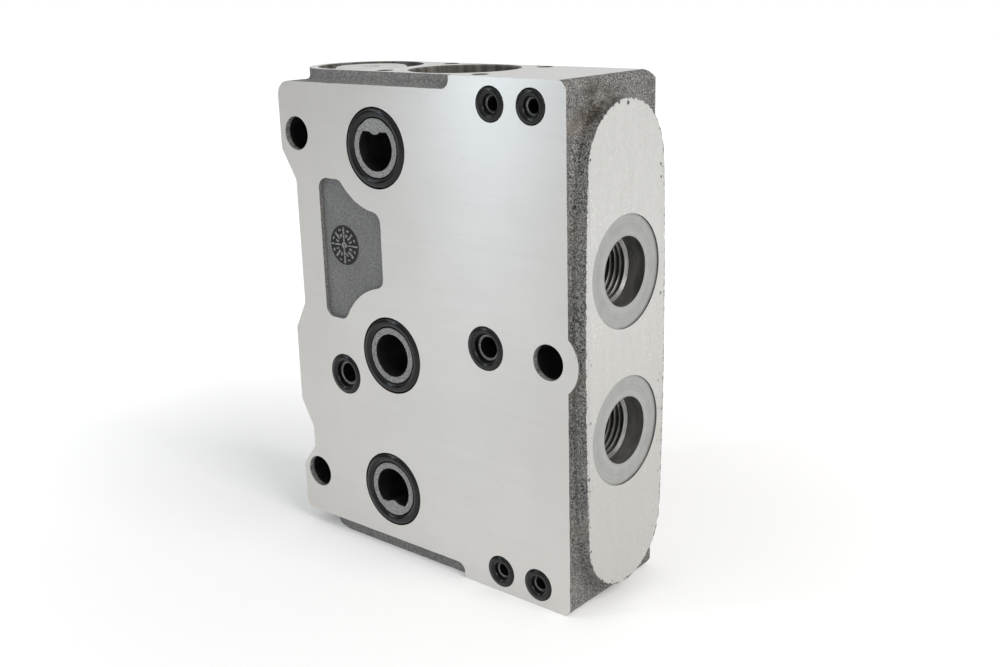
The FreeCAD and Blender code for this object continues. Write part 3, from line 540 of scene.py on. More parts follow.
@dataclass(frozen=True)
class SandCast(Finish):
    """Bare sand-cast iron: dark, mottled and rough, a little brown in places.

    A pair of places is where a soft border starts and where it is complete.
    """

    name: str = "sand_cast_iron"
    dark: Colour = grey(0.022)
    light: Colour = (0.335, 0.325, 0.31, 1)
    warmth: float = 0.25
    contrast: float = 1.0
    depth: float = 0.00022
    stain_at: Triple = (58.0 * MM, -8.5 * MM, 151.5 * MM)
    stain_reach: Pair = (12.5 * MM, 4.375 * MM)
    stain_share: float = 0.9
    stain_dark: Colour = (0.003, 0.002, 0.002, 1)
    stain_light: Colour = (0.12, 0.095, 0.07, 1)
    calm: Colour = (0.27, 0.27, 0.262, 1)
    calm_y: Pair = (-15.5 * MM, -19.0 * MM)
    calm_x: Pair = (52.0 * MM, 49.0 * MM)
    calm_share: float = 0.42

    def make(self) -> Material:
        """Build the material.

        Returns:
            The finished material.
        """
        material, g, shader = self.start(Metallic=0.25)
        where = self.place(g)
        skin = self.group(g, SAND_SKIN, where, Dark=self.dark, Light=self.light, Warmth=self.warmth,
                          Contrast=self.contrast)
        near = g.step(g.measure("DISTANCE", where, self.stain_at), *self.stain_reach)
        near = g.times(near, g.step(g.noise(where, 260.0, 4.0), 0.3, 0.62))
        grain = g.step(g.noise(where, 1700.0, 4.0), 0.46, 0.6)
        rust = g.blend(grain, self.stain_dark, self.stain_light)
        split = g.split(where)
        edge = g.times(g.step(split.outputs["Y"], *self.calm_y), self.calm_share)
        edge = g.times(edge, g.step(split.outputs["X"], *self.calm_x))
        colour = g.blend(edge, skin.outputs["Color"], self.calm)
        g.wire(g.blend(g.times(near, self.stain_share), colour, rust), shader.inputs["Base Color"])
        g.wire(skin.outputs["Roughness"], shader.inputs["Roughness"])
        self.bump(g, skin.outputs["Height"], shader, self.depth)
        return material


@dataclass(frozen=True)
class Milled(Finish):
    """A machined iron face with parallel cutter marks and a few pores."""

    name: str = "milled_iron"
    stretch: Triple = (40.0, 2200.0, 2200.0)
    dull: Colour = (0.6, 0.58, 0.55, 1)
    bright: Colour = (0.66, 0.64, 0.61, 1)
    metallic: float = 0.6
    roughness: float = 0.25
    depth: float = 0.000004
    pore: Colour = grey(0.12)
    pore_size: float = 0.05
    spread: float = 0.9
    turn: float = 0.25

    def make(self) -> Material:
        """Build the material.

        Returns:
            The finished material.
        """
        material, g, shader = self.start(
            Metallic=self.metallic, Anisotropic=self.spread, Anisotropic_Rotation=self.turn
        )
        where = self.place(g)
        marks = self.group(g, TOOL_MARKS, g.stretched(where, self.stretch))
        tone = g.plus(g.times(marks.outputs["Streak"], 0.4), g.times(g.noise(where, 24.0), 0.6))
        colour = g.blend(g.step(tone, 0.3, 0.7), self.dull, self.bright)
        pores = self.group(g, PORES, where, Size=self.pore_size).outputs["Mask"]
        colour = g.blend(pores, colour, self.pore)
        g.wire(colour, shader.inputs["Base Color"])
        rough = g.plus(self.roughness, g.times(marks.outputs["Streak"], 0.12))
        g.wire(g.plus(rough, g.times(pores, 0.3)), shader.inputs["Roughness"])
        height = g.minus(marks.outputs["Height"], g.times(pores, 6.0))
        self.bump(g, height, shader, self.depth)
        return material


@dataclass(frozen=True)
class MilledPad(Finish):
    """The pad's milled face: pale, pitted, broken along its edge where the skin starts, and darker towards
    the bottom by painted shade.

    A pair of places is where a soft border starts and where it is complete.
    """

    name: str = "milled_pad"
    half_run: float = LAYOUT.pad_run * MM
    radius: float = 19.3 * MM
    ragged: float = 1.5 * MM
    edge: Pair = (0.42 * MM, 0.12 * MM)
    stretch: Triple = (2000.0, 2200.0, 500.0)
    dull: Colour = (0.485, 0.483, 0.466, 1)
    bright: Colour = (0.575, 0.573, 0.558, 1)
    fleck: Colour = (0.7, 0.69, 0.67, 1)
    pore: Colour = (0.3, 0.295, 0.28, 1)
    pit: Colour = (0.07, 0.068, 0.065, 1)
    pitted: Pair = (4.6 * MM, 1.4 * MM)
    # Painted shade: the face darkens towards the bottom.
    painted_shade: Colour = (0.36, 0.34, 0.31, 1)
    painted_shade_z: Pair = (115.0 * MM, 30.0 * MM)
    painted_shade_share: float = 0.32

    def make(self) -> Material:
        """Build the material.

        Returns:
            The finished material.
        """
        material, g, shader = self.start(Metallic=0.3)
        where = self.place(g)
        split = g.split(where)
        across = g.math("ABSOLUTE", g.minus(split.outputs["Y"], LAYOUT.pad_y * MM))
        along = g.math("ABSOLUTE", g.minus(split.outputs["Z"], LAYOUT.middle_z * MM))
        share = g.math("DIVIDE", along, self.half_run)
        swell = g.math("MAXIMUM", g.minus(1.0, g.times(share, share)), 0.0)
        across = g.math("MAXIMUM", g.minus(across, g.times(swell, LAYOUT.pad_bow * MM)), 0.0)
        beyond = g.math("MAXIMUM", g.minus(along, self.half_run), 0.0)
        squared = g.plus(g.times(across, across), g.times(beyond, beyond))
        inside = g.minus(self.radius, g.math("SQRT", squared))
        fray = g.minus(g.noise(where, 900.0, 5.0), 0.5)
        inside = g.plus(inside, g.times(fray, self.ragged * 2))
        skin_mask = g.step(inside, *self.edge)
        marks = self.group(g, TOOL_MARKS, g.stretched(where, self.stretch))
        mottle = g.times(g.plus(g.noise(where, 1500.0, 4.0), marks.outputs["Streak"]), 0.5)
        colour = g.blend(g.step(mottle, 0.3, 0.72), self.dull, self.bright)
        flecks = self.group(g, PORES, where, Size=0.4, Spacing=1300.0).outputs["Mask"]
        flecks = g.times(flecks, g.step(g.noise(where, 60.0, 2.0), 0.48, 0.62))
        colour = g.blend(flecks, colour, self.fleck)
        pores = g.times(self.group(g, PORES, where, Size=0.24, Spacing=700.0).outputs["Mask"], 0.6)
        colour = g.blend(pores, colour, self.pore)
        pits = self.group(g, PORES, where, Size=0.36, Spacing=640.0).outputs["Mask"]
        pits = g.times(pits, g.step(inside, *self.pitted))
        pits = g.times(pits, g.step(g.noise(where, 150.0, 2.0), 0.47, 0.56))
        colour = g.blend(pits, colour, self.pit)
        # Painted shade, darker towards the bottom of the pad.
        low = g.times(g.step(split.outputs["Z"], *self.painted_shade_z), self.painted_shade_share)
        colour = g.blend(low, colour, self.painted_shade)
        skin = self.group(g, SAND_SKIN, where, Dark=grey(0.04), Light=grey(0.3), Warmth=0.1)
        g.wire(g.blend(skin_mask, colour, skin.outputs["Color"]), shader.inputs["Base Color"])
        g.wire(g.plus(0.42, g.times(skin_mask, 0.3)), shader.inputs["Roughness"])
        holes = g.plus(pores, g.times(pits, 1.5))
        height = g.minus(g.times(mottle, 0.35), holes)
        height = g.minus(height, g.times(skin_mask, 2.0))
        self.bump(g, height, shader, 0.00005)
        return material


@dataclass(frozen=True)
class Turned(Finish):
    """A turned or bored surface: rings of tool marks about an axis.

    Two bores that mirror each other about the height fold_z share one finish.
    """

    name: str = "turned_iron"
    axis: Axis = Axis.X
    centre: Triple = (0.0, 0.0, 0.0)
    fold_z: float = 0.0
    rings: float = 2400.0
    dull: Colour = grey(0.3)
    bright: Colour = grey(0.46)
    metallic: float = 0.75
    roughness: float = 0.32

    def make(self) -> Material:
        """Build the material.

        Returns:
            The finished material.
        """
        material, g, shader = self.start(Metallic=self.metallic)
        where = self.place(g)
        split = g.split(where)
        squares = []
        folded = g.math("ABSOLUTE", g.minus(split.outputs["Z"], self.fold_z))
        for letter, centre in zip("XYZ", self.centre):
            if letter != self.axis.name:
                offset = g.minus(folded if letter == "Z" else split.outputs[letter], centre)
                squares.append(g.times(offset, offset))
        radius = g.math("SQRT", g.plus(squares[0], squares[1]))
        rings = g.add("ShaderNodeCombineXYZ")
        g.wire(g.times(radius, self.rings), rings.inputs["X"])
        g.wire(g.times(split.outputs[self.axis.name], self.rings), rings.inputs["Y"])
        lathe = g.noise(rings.outputs["Vector"], 1.0, 3.0)
        cloud = g.noise(where, 260.0, 4.0)
        tone = g.plus(g.times(lathe, 0.6), g.times(cloud, 0.4))
        g.wire(g.blend(g.step(tone, 0.32, 0.68), self.dull, self.bright), shader.inputs["Base Color"])
        g.wire(g.plus(self.roughness, g.times(cloud, 0.14)), shader.inputs["Roughness"])
        self.bump(g, lathe, shader, 0.000006)
        return material


@dataclass(frozen=True)
class BoreWall(Finish):
    """The inner walls: streaked metal, paler just inside the mouths by painted light and near black deeper
    in by painted shade.
    """

    name: str = "bore_wall"
    # Painted light: how far in from an outer face the paler tones of the mouths reach, and over what length
    # they fade into the painted shade deeper in.
    lit_to: float = 0.4 * MM
    fade: float = 0.3 * MM
    # Tones of the painted light just inside the mouths.
    low: Colour = grey(0.02)
    high: Colour = grey(0.05)
    stretch: Triple = (900.0, 900.0, 70.0)

    def make(self) -> Material:
        """Build the material.

        Returns:
            The finished material.
        """
        material, g, shader = self.start(Metallic=0.2, Specular_IOR_Level=0.3)
        where = self.place(g)
        streaks = self.group(g, TOOL_MARKS, g.stretched(where, self.stretch)).outputs["Streak"]
        split = g.split(where)
        nearest = split.outputs["Z"]
        for depth in (
            g.minus(split.outputs["Y"], LAYOUT.front_y * MM),
            g.minus(LAYOUT.back_y * MM, split.outputs["Y"]),
            g.minus(LAYOUT.top_z * MM, split.outputs["Z"]),
            g.minus(LAYOUT.pad_x * MM, split.outputs["X"]),
        ):
            nearest = g.math("MINIMUM", nearest, depth)
        # Painted light near the openings and painted shade deeper in, by depth from the outer faces.
        lit = g.step(nearest, self.lit_to + self.fade, self.lit_to)
        tone = g.step(streaks, 0.35, 0.65)
        # Painted shade: near black deeper in.
        deep = g.blend(tone, grey(0.006), grey(0.016))
        mouth = g.blend(tone, self.low, self.high)
        g.wire(g.blend(lit, deep, mouth), shader.inputs["Base Color"])
        g.wire(g.plus(0.4, g.times(streaks, 0.25)), shader.inputs["Roughness"])
        self.bump(g, streaks, shader, 0.00001)
        return material


@dataclass(frozen=True)
class Nitrile(Finish):
    """Black seal rubber with a soft oily sheen and a little dust."""

    name: str = "nitrile_rubber"

    def make(self) -> Material:
        """Build the material.

        Returns:
            The finished material.
        """
        material, g, shader = self.start(Metallic=0.0, Specular_IOR_Level=0.3)
        where = self.place(g)
        dust = g.step(g.noise(where, 1800.0, 5.0), 0.56, 0.8)
        film = g.noise(where, 240.0, 3.0)
        base = g.blend(film, grey(0.003), grey(0.008))
        g.wire(g.blend(g.times(dust, 0.25), base, grey(0.06)), shader.inputs["Base Color"])
        g.wire(g.plus(0.1, g.times(film, 0.2)), shader.inputs["Roughness"])
        self.bump(g, g.noise(where, 2600.0, 3.0), shader, 0.00001)
        return material


@dataclass(frozen=True)
class Metal(Finish):
    """A plain worked metal for the inner pieces, with fine rings along its axis."""

    name: str = "ground_steel"
    low: Colour = (0.42, 0.42, 0.43, 1)
    high: Colour = (0.6, 0.6, 0.61, 1)
    roughness: float = 0.2
    metallic: float = 0.95
    stretch: Triple = (220.0, 220.0, 4200.0)

    def make(self) -> Material:
        """Build the material.

        Returns:
            The finished material.
        """
        material, g, shader = self.start(Metallic=self.metallic)
        where = self.place(g)
        marks = self.group(g, TOOL_MARKS, g.stretched(where, self.stretch))
        stain = g.noise(where, 160.0, 4.0)
        tone = g.plus(g.times(marks.outputs["Streak"], 0.5), g.times(stain, 0.5))
        g.wire(g.blend(g.step(tone, 0.3, 0.7), self.low, self.high), shader.inputs["Base Color"])
        g.wire(g.plus(self.roughness, g.times(stain, 0.16)), shader.inputs["Roughness"])
        self.bump(g, marks.outputs["Height"], shader, 0.000004)
        return material


@dataclass
class Casting:
    """The valve block: its cast skin and every face that was machined into it.

    Lengths are in millimetres, in the row's own frame. A round feature has its centre's two
    coordinates and its reach. A swell of the skin's relief has a fineness, a shift of the
    noise and a share.
    """

    spotface_x: float = 61.9
    recess_y: float = -20.45
    flat: float = 0.02
    square: float = 0.99
    upright: float = 0.9
    inner_low: Triple = (-55.9, -19.2, 5.05)
    inner_high: Triple = (56.8, 19.2, 156.3)
    tie_holes: tuple[Triple, ...] = (
        (-54.4, 140.6, 5.6), (-54.4, 20.4, 5.6), (49.6, 80.5, 5.6),
    )
    cap_bores: tuple[Triple, ...] = ((1.3, 0.25, 17.8), (-40.2, 0.25, 17.6))
    cap_floors_z: Pair = (5.1, 156.2)
    seat_floor_y: float = -18.0
    screw_reach: float = 2.7
    port_from_x: float = 40.0
    port_reach: float = 17.2
    weld: float = 0.002
    crease: float = 32.0
    rounds: int = 9
    grain: float = 1.0
    coarse_grain: float = 2.4
    fine_from_x: float = 57.5
    relief: float = 0.12
    fray: Pair = (0.12, 0.5)
    swells: tuple[tuple[float, Triple, float], ...] = (
        (0.95, (0, 0, 0), 0.6), (2.1, (7, 3, 1), 0.5), (0.22, (1, 9, 4), 0.35),
    )
    sunk: float = 0.12
    deepened: float = 1.6
    bow_x: Pair = (57.0, 58.8)
    bow_reach: Pair = (18.0, 21.2)

    def near(self, value: float, plane: float) -> bool:
        """Say whether a coordinate lies in a plane."""
        return abs(value - plane) < self.flat

    def in_round(self, a: float, b: float, rounds: Iterable[Triple]) -> bool:
        """Say whether a point lies within one of several circles."""
        return any(math.hypot(a - x, b - y) <= reach for x, y, reach in rounds)

    def region(self, centre: Vector, normal: Vector) -> Region:
        """Say what was done to a face.

        Args:
            centre: The face's centre, in millimetres.
            normal: Its outward direction.

        Returns:
            The region the face belongs to.
        """
        x, y, z = centre
        if abs(normal.y) > self.square and (self.near(y, LAYOUT.front_y) or self.near(y, LAYOUT.back_y)):
            return Region.FRONT
        if abs(normal.z) > self.square and (self.near(z, LAYOUT.top_z) or self.near(z, 0.0)):
            return Region.CAP
        if normal.x > self.square and self.near(x, LAYOUT.pad_x):
            return Region.PAD
        if normal.x > self.square and self.near(x, self.spotface_x):
            return Region.SPOTFACE
        ports = ((LAYOUT.port_y, height, self.port_reach) for height in LAYOUT.ports.values())
        if x > self.port_from_x and self.in_round(y, z, ports):
            return Region.PORT
        if normal.y < -self.upright and self.near(y, self.recess_y):
            return Region.RECESS
        if self.in_round(x, z, self.tie_holes):
            return Region.TIE_HOLE
        if self.in_round(x, z, LAYOUT.seats.values()):
            floor = y < self.seat_floor_y and abs(normal.y) > self.upright
            return Region.SEAT if floor else Region.BORE
        if all(low < value < high for low, value, high in zip(self.inner_low, centre, self.inner_high)):
            return Region.BORE
        low, high = self.cap_floors_z
        if not low <= z <= high and self.in_round(x, y, self.cap_bores):
            return Region.BORED_FLOOR if abs(normal.z) > self.upright else Region.MOUTH
        spread = LAYOUT.screw_spreads[0 if z > LAYOUT.top_z / 2 else 1]
        off_x = abs(abs(x - LAYOUT.cap_x) - spread / 2)
        off_y = abs(abs(y - LAYOUT.middle_y) - LAYOUT.screw_gap / 2)
        return Region.BORE if max(off_x, off_y) < self.screw_reach else Region.CAST

    def skin_faces(self, work: WorkMesh) -> list[bmesh.types.BMFace]:
        """Give the faces that kept their cast skin."""
        return [face for face in work.faces if face.material_index == Region.CAST.value]

    def refine(self, work: WorkMesh) -> None:
        """Split the cast skin until its triangles are about a sand grain in size.

        Args:
            work: The mesh that is worked on, in metres.
        """
        bmesh.ops.triangulate(work, faces=self.skin_faces(work))
        for _ in range(self.rounds):
            long_edges = set()
            for face in self.skin_faces(work):
                near_pad = face.calc_center_median().x > self.fine_from_x * MM
                longest = (self.grain if near_pad else self.coarse_grain) * MM
                long_edges.update(edge for edge in face.edges if edge.calc_length() > longest)
            if not long_edges:
                break
            bmesh.ops.subdivide_edges(work, edges=list(long_edges), cuts=1)
            split = [face for face in self.skin_faces(work) if len(face.verts) > 3]
            bmesh.ops.triangulate(work, faces=split)

    def bow_pad(self, work: WorkMesh) -> None:
        """Bow the pad's long sides outward, most at their middle.

        Args:
            work: The mesh that is worked on, in metres.
        """
        for vert in work.verts:
            x, y, z = vert.co / MM
            along = (z - LAYOUT.middle_z) / LAYOUT.pad_run
            side = y - LAYOUT.pad_y
            inner, outer = self.bow_reach
            if x > self.bow_x[0] and abs(along) < 1.0 and inner < abs(side) < outer:
                rise = min((x - self.bow_x[0]) / (self.bow_x[1] - self.bow_x[0]), 1.0)
                push = LAYOUT.pad_bow * (1.0 - along * along) * rise
                vert.co.y = (LAYOUT.pad_y + math.copysign(min(abs(side) + push, outer), side)) * MM

    def roughen(self, work: WorkMesh) -> None:
        """Push the cast skin in and out by the relief of the sand mould.

        Vertices that touch a machined face stay in that face's plane, which leaves the
        border between skin and machined face a little ragged.

        Args:
            work: The mesh that is worked on, in metres.
        """
        moves = {}
        for vert in work.verts:
            kinds = {face.material_index for face in vert.link_faces}
            if Region.CAST.value not in kinds:
                continue
            outward = Vector()
            for face in vert.link_faces:
                if face.material_index == Region.CAST.value:
                    outward += face.normal * face.calc_area()
            if outward.length == 0:
                continue
            outward.normalize()
            for face in vert.link_faces:
                if face.material_index != Region.CAST.value:
                    outward -= face.normal * outward.dot(face.normal)
            place = vert.co / MM
            height = 0.0
            for size, shift, part in self.swells:
                height += noise.noise(place * size + Vector(shift)) * part
            reach = self.relief if len(kinds) == 1 else self.fray[Region.PAD.value in kinds]
            moves[vert] = outward * (min(height, 0.0) * self.deepened - self.sunk) * reach * MM
        for vert, move in moves.items():
            vert.co += move

    def build(self) -> Piece:
        """Build the casting's skin over the frame's solid.

        Returns:
            The dressed casting.
        """
        mesh = frame["nodes"]["housing"].data.copy()
        mesh.name = "valve_casting"
        mesh.materials.clear()
        work = bmesh.new()
        work.from_mesh(mesh)
        bmesh.ops.remove_doubles(work, verts=work.verts, dist=self.weld * MM)
        for face in work.faces:
            face.material_index = self.region(face.calc_center_median() / MM, face.normal).value
            face.smooth = True
        self.refine(work)
        self.bow_pad(work)
        self.roughen(work)
        work.normal_update()
        for edge in work.edges:
            kinds = {face.material_index for face in edge.link_faces}
            edge.smooth = len(kinds) == 1 and edge.calc_face_angle(math.pi) < math.radians(self.crease)
        work.to_mesh(mesh)
        work.free()
        if "custom_normal" in mesh.attributes:
            mesh.attributes.remove(mesh.attributes["custom_normal"])
        piece = link(bpy.data.objects.new("valve_casting", mesh))
        self.dress(piece)
        return piece

    def dress(self, piece: Piece) -> None:
        """Give each region its finish.

        Args:
            piece: The casting.
        """
        finishes = {
            Region.CAST: SandCast(),
            Region.FRONT: Milled(),
            Region.CAP: Milled(name="milled_cap_face", stretch=(60.0, 2200.0, 2200.0), spread=0.0,
                               dull=(0.66, 0.65, 0.635, 1), bright=(0.74, 0.735, 0.72, 1)),
            # The bored floors take a darker copy of the milled cap finish: painted shade in the end
            # recesses.
            Region.BORED_FLOOR: Milled(name="bored_floor", stretch=(500.0, 500.0, 500.0), spread=0.0,
                                       dull=(0.26, 0.26, 0.25, 1), bright=(0.36, 0.36, 0.35, 1),
                                       roughness=0.4),
            Region.RECESS: SandCast(name="recess_skin", dark=grey(0.11), light=(0.275, 0.275, 0.27, 1),
                                    contrast=0.9, warmth=0.0, depth=0.00015, calm_share=0.0),
            Region.PAD: MilledPad(),
            Region.SPOTFACE: Turned(name="spotface", centre=PORT_CENTRE, fold_z=LAYOUT.middle_z * MM,
                                    dull=(0.31, 0.31, 0.3, 1), bright=(0.38, 0.38, 0.37, 1),
                                    metallic=0.5, roughness=0.4),
            # The bore finishes below are paler within lit_to of an opening as painted light and near black
            # deeper in as painted shade.
            Region.SEAT: BoreWall(name="ring_seat", lit_to=4 * MM),
            Region.BORE: BoreWall(),
            Region.TIE_HOLE: BoreWall(name="tie_hole", lit_to=1.8 * MM, low=(0.12, 0.12, 0.11, 1),
                                      high=(0.4, 0.39, 0.38, 1), stretch=(2200.0, 700.0, 2200.0)),
            Region.MOUTH: BoreWall(name="cap_bore", lit_to=6 * MM, low=(0.05, 0.045, 0.04, 1),
                                   high=(0.17, 0.155, 0.14, 1), stretch=(420.0, 420.0, 60.0)),
            Region.PORT: BoreWall(name="port_mouth", lit_to=6 * MM, low=(0.04, 0.039, 0.037, 1),
                                  high=(0.14, 0.137, 0.132, 1), stretch=(300.0, 90.0, 90.0)),
        }
        for region in Region:
            piece.data.materials.append(finishes[region].make())


@dataclass
class CoiledThread:
    """The ridges of a thread, wound along the wall of its hole.

    Lengths are in millimetres. The bite is how far the ridge's foot, and its top where it
    runs out, lie within the wall.
    """

    name: str
    axis: Axis
    mouth: Triple
    into: float
    wall: float
    crest: float
    pitch: float
    length: float
    lead_in: float
    steps: int = 72
    flat: float = 0.22
    fill: float = 0.46
    bite: Pair = (0.05, 0.02)
    run_out: float = 0.6
    sharp: float = 25.0

    def section(self, fade: float) -> list[Pair]:
        """Give the ridge's section as (radius, shift along the hole) pairs.

        Args:
            fade: 0 where the ridge runs out, 1 where it is full.

        Returns:
            Four corners, from wall to crest and back.
        """
        half = self.pitch * self.fill
        tip = half * self.flat
        foot, top = (self.wall + bite for bite in self.bite)
        top -= (top - self.crest) * fade
        return [(foot, -half), (top, -tip), (top, tip), (foot, half)]

    def point(self, angle: float, radius: float, depth: float) -> Vector:
        """Turn a place on the thread into a place in the row's frame.

        Args:
            angle: The turn about the hole's axis.
            radius: The distance from the axis.
            depth: The distance from the mouth.

        Returns:
            The place, in metres.
        """
        turn = (radius * math.cos(angle), radius * math.sin(angle))
        shift = self.into * depth
        x, y, z = self.mouth
        if self.axis is Axis.X:
            return Vector((x + shift, y + turn[0], z + turn[1])) * MM
        return Vector((x + turn[0], y + turn[1], z + shift)) * MM

    def build(self, material: Material, body: str) -> Piece:
        """Build the ridges and hang them on a body.

        Args:
            material: Their finish.
            body: The body they belong to.

        Returns:
            The thread's piece.
        """
        turns = self.length / self.pitch
        count = int(turns * self.steps)
        run_out = self.steps * self.run_out
        work = bmesh.new()
        rings = []
        for i in range(count + 1):
            fade = min(1.0, i / run_out, (count - i) / run_out)
            fade = fade * fade * (3 - 2 * fade)
            depth = self.lead_in + self.pitch * i / self.steps
            angle = math.tau * i / self.steps
            corners = (self.point(angle, radius, depth + shift) for radius, shift in self.section(fade))
            rings.append([work.verts.new(corner) for corner in corners])
        wrap(work, rings, closed=False)
        work.faces.new(rings[0][::-1])
        work.faces.new(rings[-1])
        return hang(self.name, work, [material], self.sharp, body)


@dataclass(frozen=True)
class LandCut:
    """How the lands of one size of ring are cut, in millimetres."""

    floor_y: float
    top_y: float
    chamfer: float
    radius: float
    per_seat: float = 0.0


@dataclass
class SeatLand:
    """The land between a ring's groove and its passage, with the passage's own outline.

    Lengths are in millimetres.
    """

    name: str
    centre: Pair
    seat: float
    large_from: float = 10.0
    large: LandCut = LandCut(floor_y=-18.72, top_y=-21.68, chamfer=0.12, radius=9.33)
    small: LandCut = LandCut(floor_y=-19.63, top_y=-20.4, chamfer=0.26, radius=1.8, per_seat=0.35)
    sunk: float = 0.02
    gap: float = 0.01
    wall: float = 0.4
    margin: float = 0.2
    sharp: float = 30.0
    upright_sides: tuple[int, int] = (0, 4)

    def __post_init__(self) -> None:
        """Choose the cut for the ring's size."""
        self.cut = self.large if self.seat > self.large_from else self.small
        self.radius = self.cut.radius + self.cut.per_seat * self.seat

    def outline(self) -> list[Pair]:
        """Read the passage's outline off the solid, at the floor of the groove.

        Returns:
            (angle, radius) pairs about the seat's centre, in order.
        """
        found = {}
        for vert in frame["nodes"]["housing"].data.vertices:
            x, y, z = vert.co / MM
            reach = math.hypot(x - self.centre[0], z - self.centre[1])
            if abs(y - self.cut.floor_y) < self.sunk and reach < self.radius - self.margin:
                angle = math.atan2(z - self.centre[1], x - self.centre[0])
                found[round(angle, 3)] = (angle, reach)
        return [found[key] for key in sorted(found)]

    def build(self, material: Material, dark: Material, body: str) -> Piece:
        """Build the land and hang it on a body.

        Args:
            material: The finish of its face.
            dark: The finish of its walls, painted near black as shade.
            body: The body it belongs to.

        Returns:
            The land's piece.
        """
        work = bmesh.new()
        loops = []
        x, z = self.centre
        foot_y, top_y, chamfer = self.cut.floor_y + self.sunk, self.cut.top_y, self.cut.chamfer
        for angle, reach in self.outline():
            inner = min(reach + self.gap, self.radius - self.wall)
            profile = (
                (self.radius, foot_y),
                (self.radius, top_y + chamfer),
                (self.radius - chamfer, top_y),
                (inner + chamfer, top_y),
                (inner, top_y + chamfer),
                (inner, foot_y),
            )
            turn = Vector((math.cos(angle), 0.0, math.sin(angle)))
            places = (Vector((x, y, z)) + turn * away for away, y in profile)
            loops.append([work.verts.new(place * MM) for place in places])
        bands = wrap(work, loops)
        for face in work.faces:
            face.smooth = True
        # The upright walls take the near-black bore finish: painted shade in the groove and the passage.
        for side in self.upright_sides:
            for face in bands[side]:
                face.material_index = 1
        return hang(self.name, work, [material, dark], self.sharp, body)


@dataclass
class DateDial:
    """The founder's date insert on the recess floor: a dark disc with a raised cross and marks.

    Lengths are in millimetres. The cross and a mark's head have a start, an end and a width.
    """

    centre: Pair = (-35.7, 104.9)
    floor_y: float = -20.4
    disc: float = 0.14
    height: float = 0.5
    radius: float = 6.6
    segments: int = 72
    centre_hole: float = 0.05
    hub: Pair = (0.35, 1.05)
    cross: Triple = (1.0, 6.1, 0.62)
    mark_turns: Triple = (0.24, 0.5, 0.76)
    mark_starts: float = 2.7
    mark_ends: Triple = (3.9, 4.9, 3.9)
    mark_width: float = 0.8
    head: Triple = (4.9, 5.5, 1.1)
    draft: Pair = (0.12, 0.1)
    brow: float = 0.8
    eye: float = 0.005
    taper: float = 0.55
    sharp: float = 40.0

    def spot(self, radius: float, angle: float, lift: float) -> Vector:
        """Turn polar coordinates on the floor into a place.

        Args:
            radius: How far from the dial's centre.
            angle: In which direction.
            lift: How far above the floor.

        Returns:
            The place, in metres.
        """
        x = self.centre[0] + radius * math.cos(angle)
        z = self.centre[1] + radius * math.sin(angle)
        return Vector((x, self.floor_y - lift, z)) * MM

    def ring(self, work: WorkMesh, inner: float, outer: float, height: float, slot: int) -> None:
        """Add a raised ring about the dial's centre.

        Args:
            work: The mesh that is built.
            inner: Its inner radius, about 0 for a disc.
            outer: Its outer radius.
            height: How far it stands up.
            slot: Its material slot.
        """
        foot, lip = self.draft
        brow = height * self.brow
        profile = [(outer + foot, 0.0), (outer, brow), (outer - lip, height)]
        profile += [(inner + lip, height), (inner, brow), (max(inner - foot, self.eye), 0.0)]
        loops = []
        for i in range(self.segments):
            angle = math.tau * i / self.segments
            loops.append([work.verts.new(self.spot(radius, angle, lift)) for radius, lift in profile])
        for band in wrap(work, loops):
            for face in band:
                face.material_index = slot

    def bar(self, work: WorkMesh, angle: float, start: float, end: float, width: float) -> None:
        """Add a raised bar that points away from the centre.

        Args:
            work: The mesh that is built.
            angle: Its direction.
            start: The radius where it starts.
            end: The radius where it ends.
            width: Its width at the foot.
        """
        sideways = Vector((-math.sin(angle), 0.0, math.cos(angle))) * MM
        corners = []
        for lift, part in ((0.0, 1.0), (self.height, self.taper)):
            for radius in (start, end):
                for side in (-1, 1):
                    corner = self.spot(radius, angle, lift) + sideways * side * width / 2 * part
                    corners.append(work.verts.new(corner))
        foot, top = corners[:4], corners[4:]
        sides = [(top[0], top[1], top[3], top[2]), (foot[0], foot[2], foot[3], foot[1])]
        sides += [(foot[i], foot[j], top[j], top[i]) for i, j in ((0, 1), (1, 3), (3, 2), (2, 0))]
        for corners in sides:
            work.faces.new(corners).material_index = 1

    def build(self, body: str) -> Piece:
        """Build the dial and hang it on a body.

        Args:
            body: The body it belongs to.

        Returns:
            The dial's piece.
        """
        work = bmesh.new()
        self.ring(work, self.centre_hole, self.radius, self.disc, 0)
        self.ring(work, *self.hub, self.height, 1)
        for i in range(4):
            square = math.tau * i / 4
            self.bar(work, square, *self.cross)
            for turn, end in zip(self.mark_turns, self.mark_ends):
                self.bar(work, square + turn * math.pi / 2, self.mark_starts, end, self.mark_width)
                self.bar(work, square + turn * math.pi / 2, *self.head)
        materials = [
            SandCast(name=name, dark=grey(dark), light=grey(light), warmth=0.0, depth=0.0001,
                     calm_share=0.0).make()
            for name, dark, light in (("dial_disc", 0.004, 0.03), ("dial_marks", 0.1, 0.42))
        ]
        return hang("date_dial", work, materials, self.sharp, body)


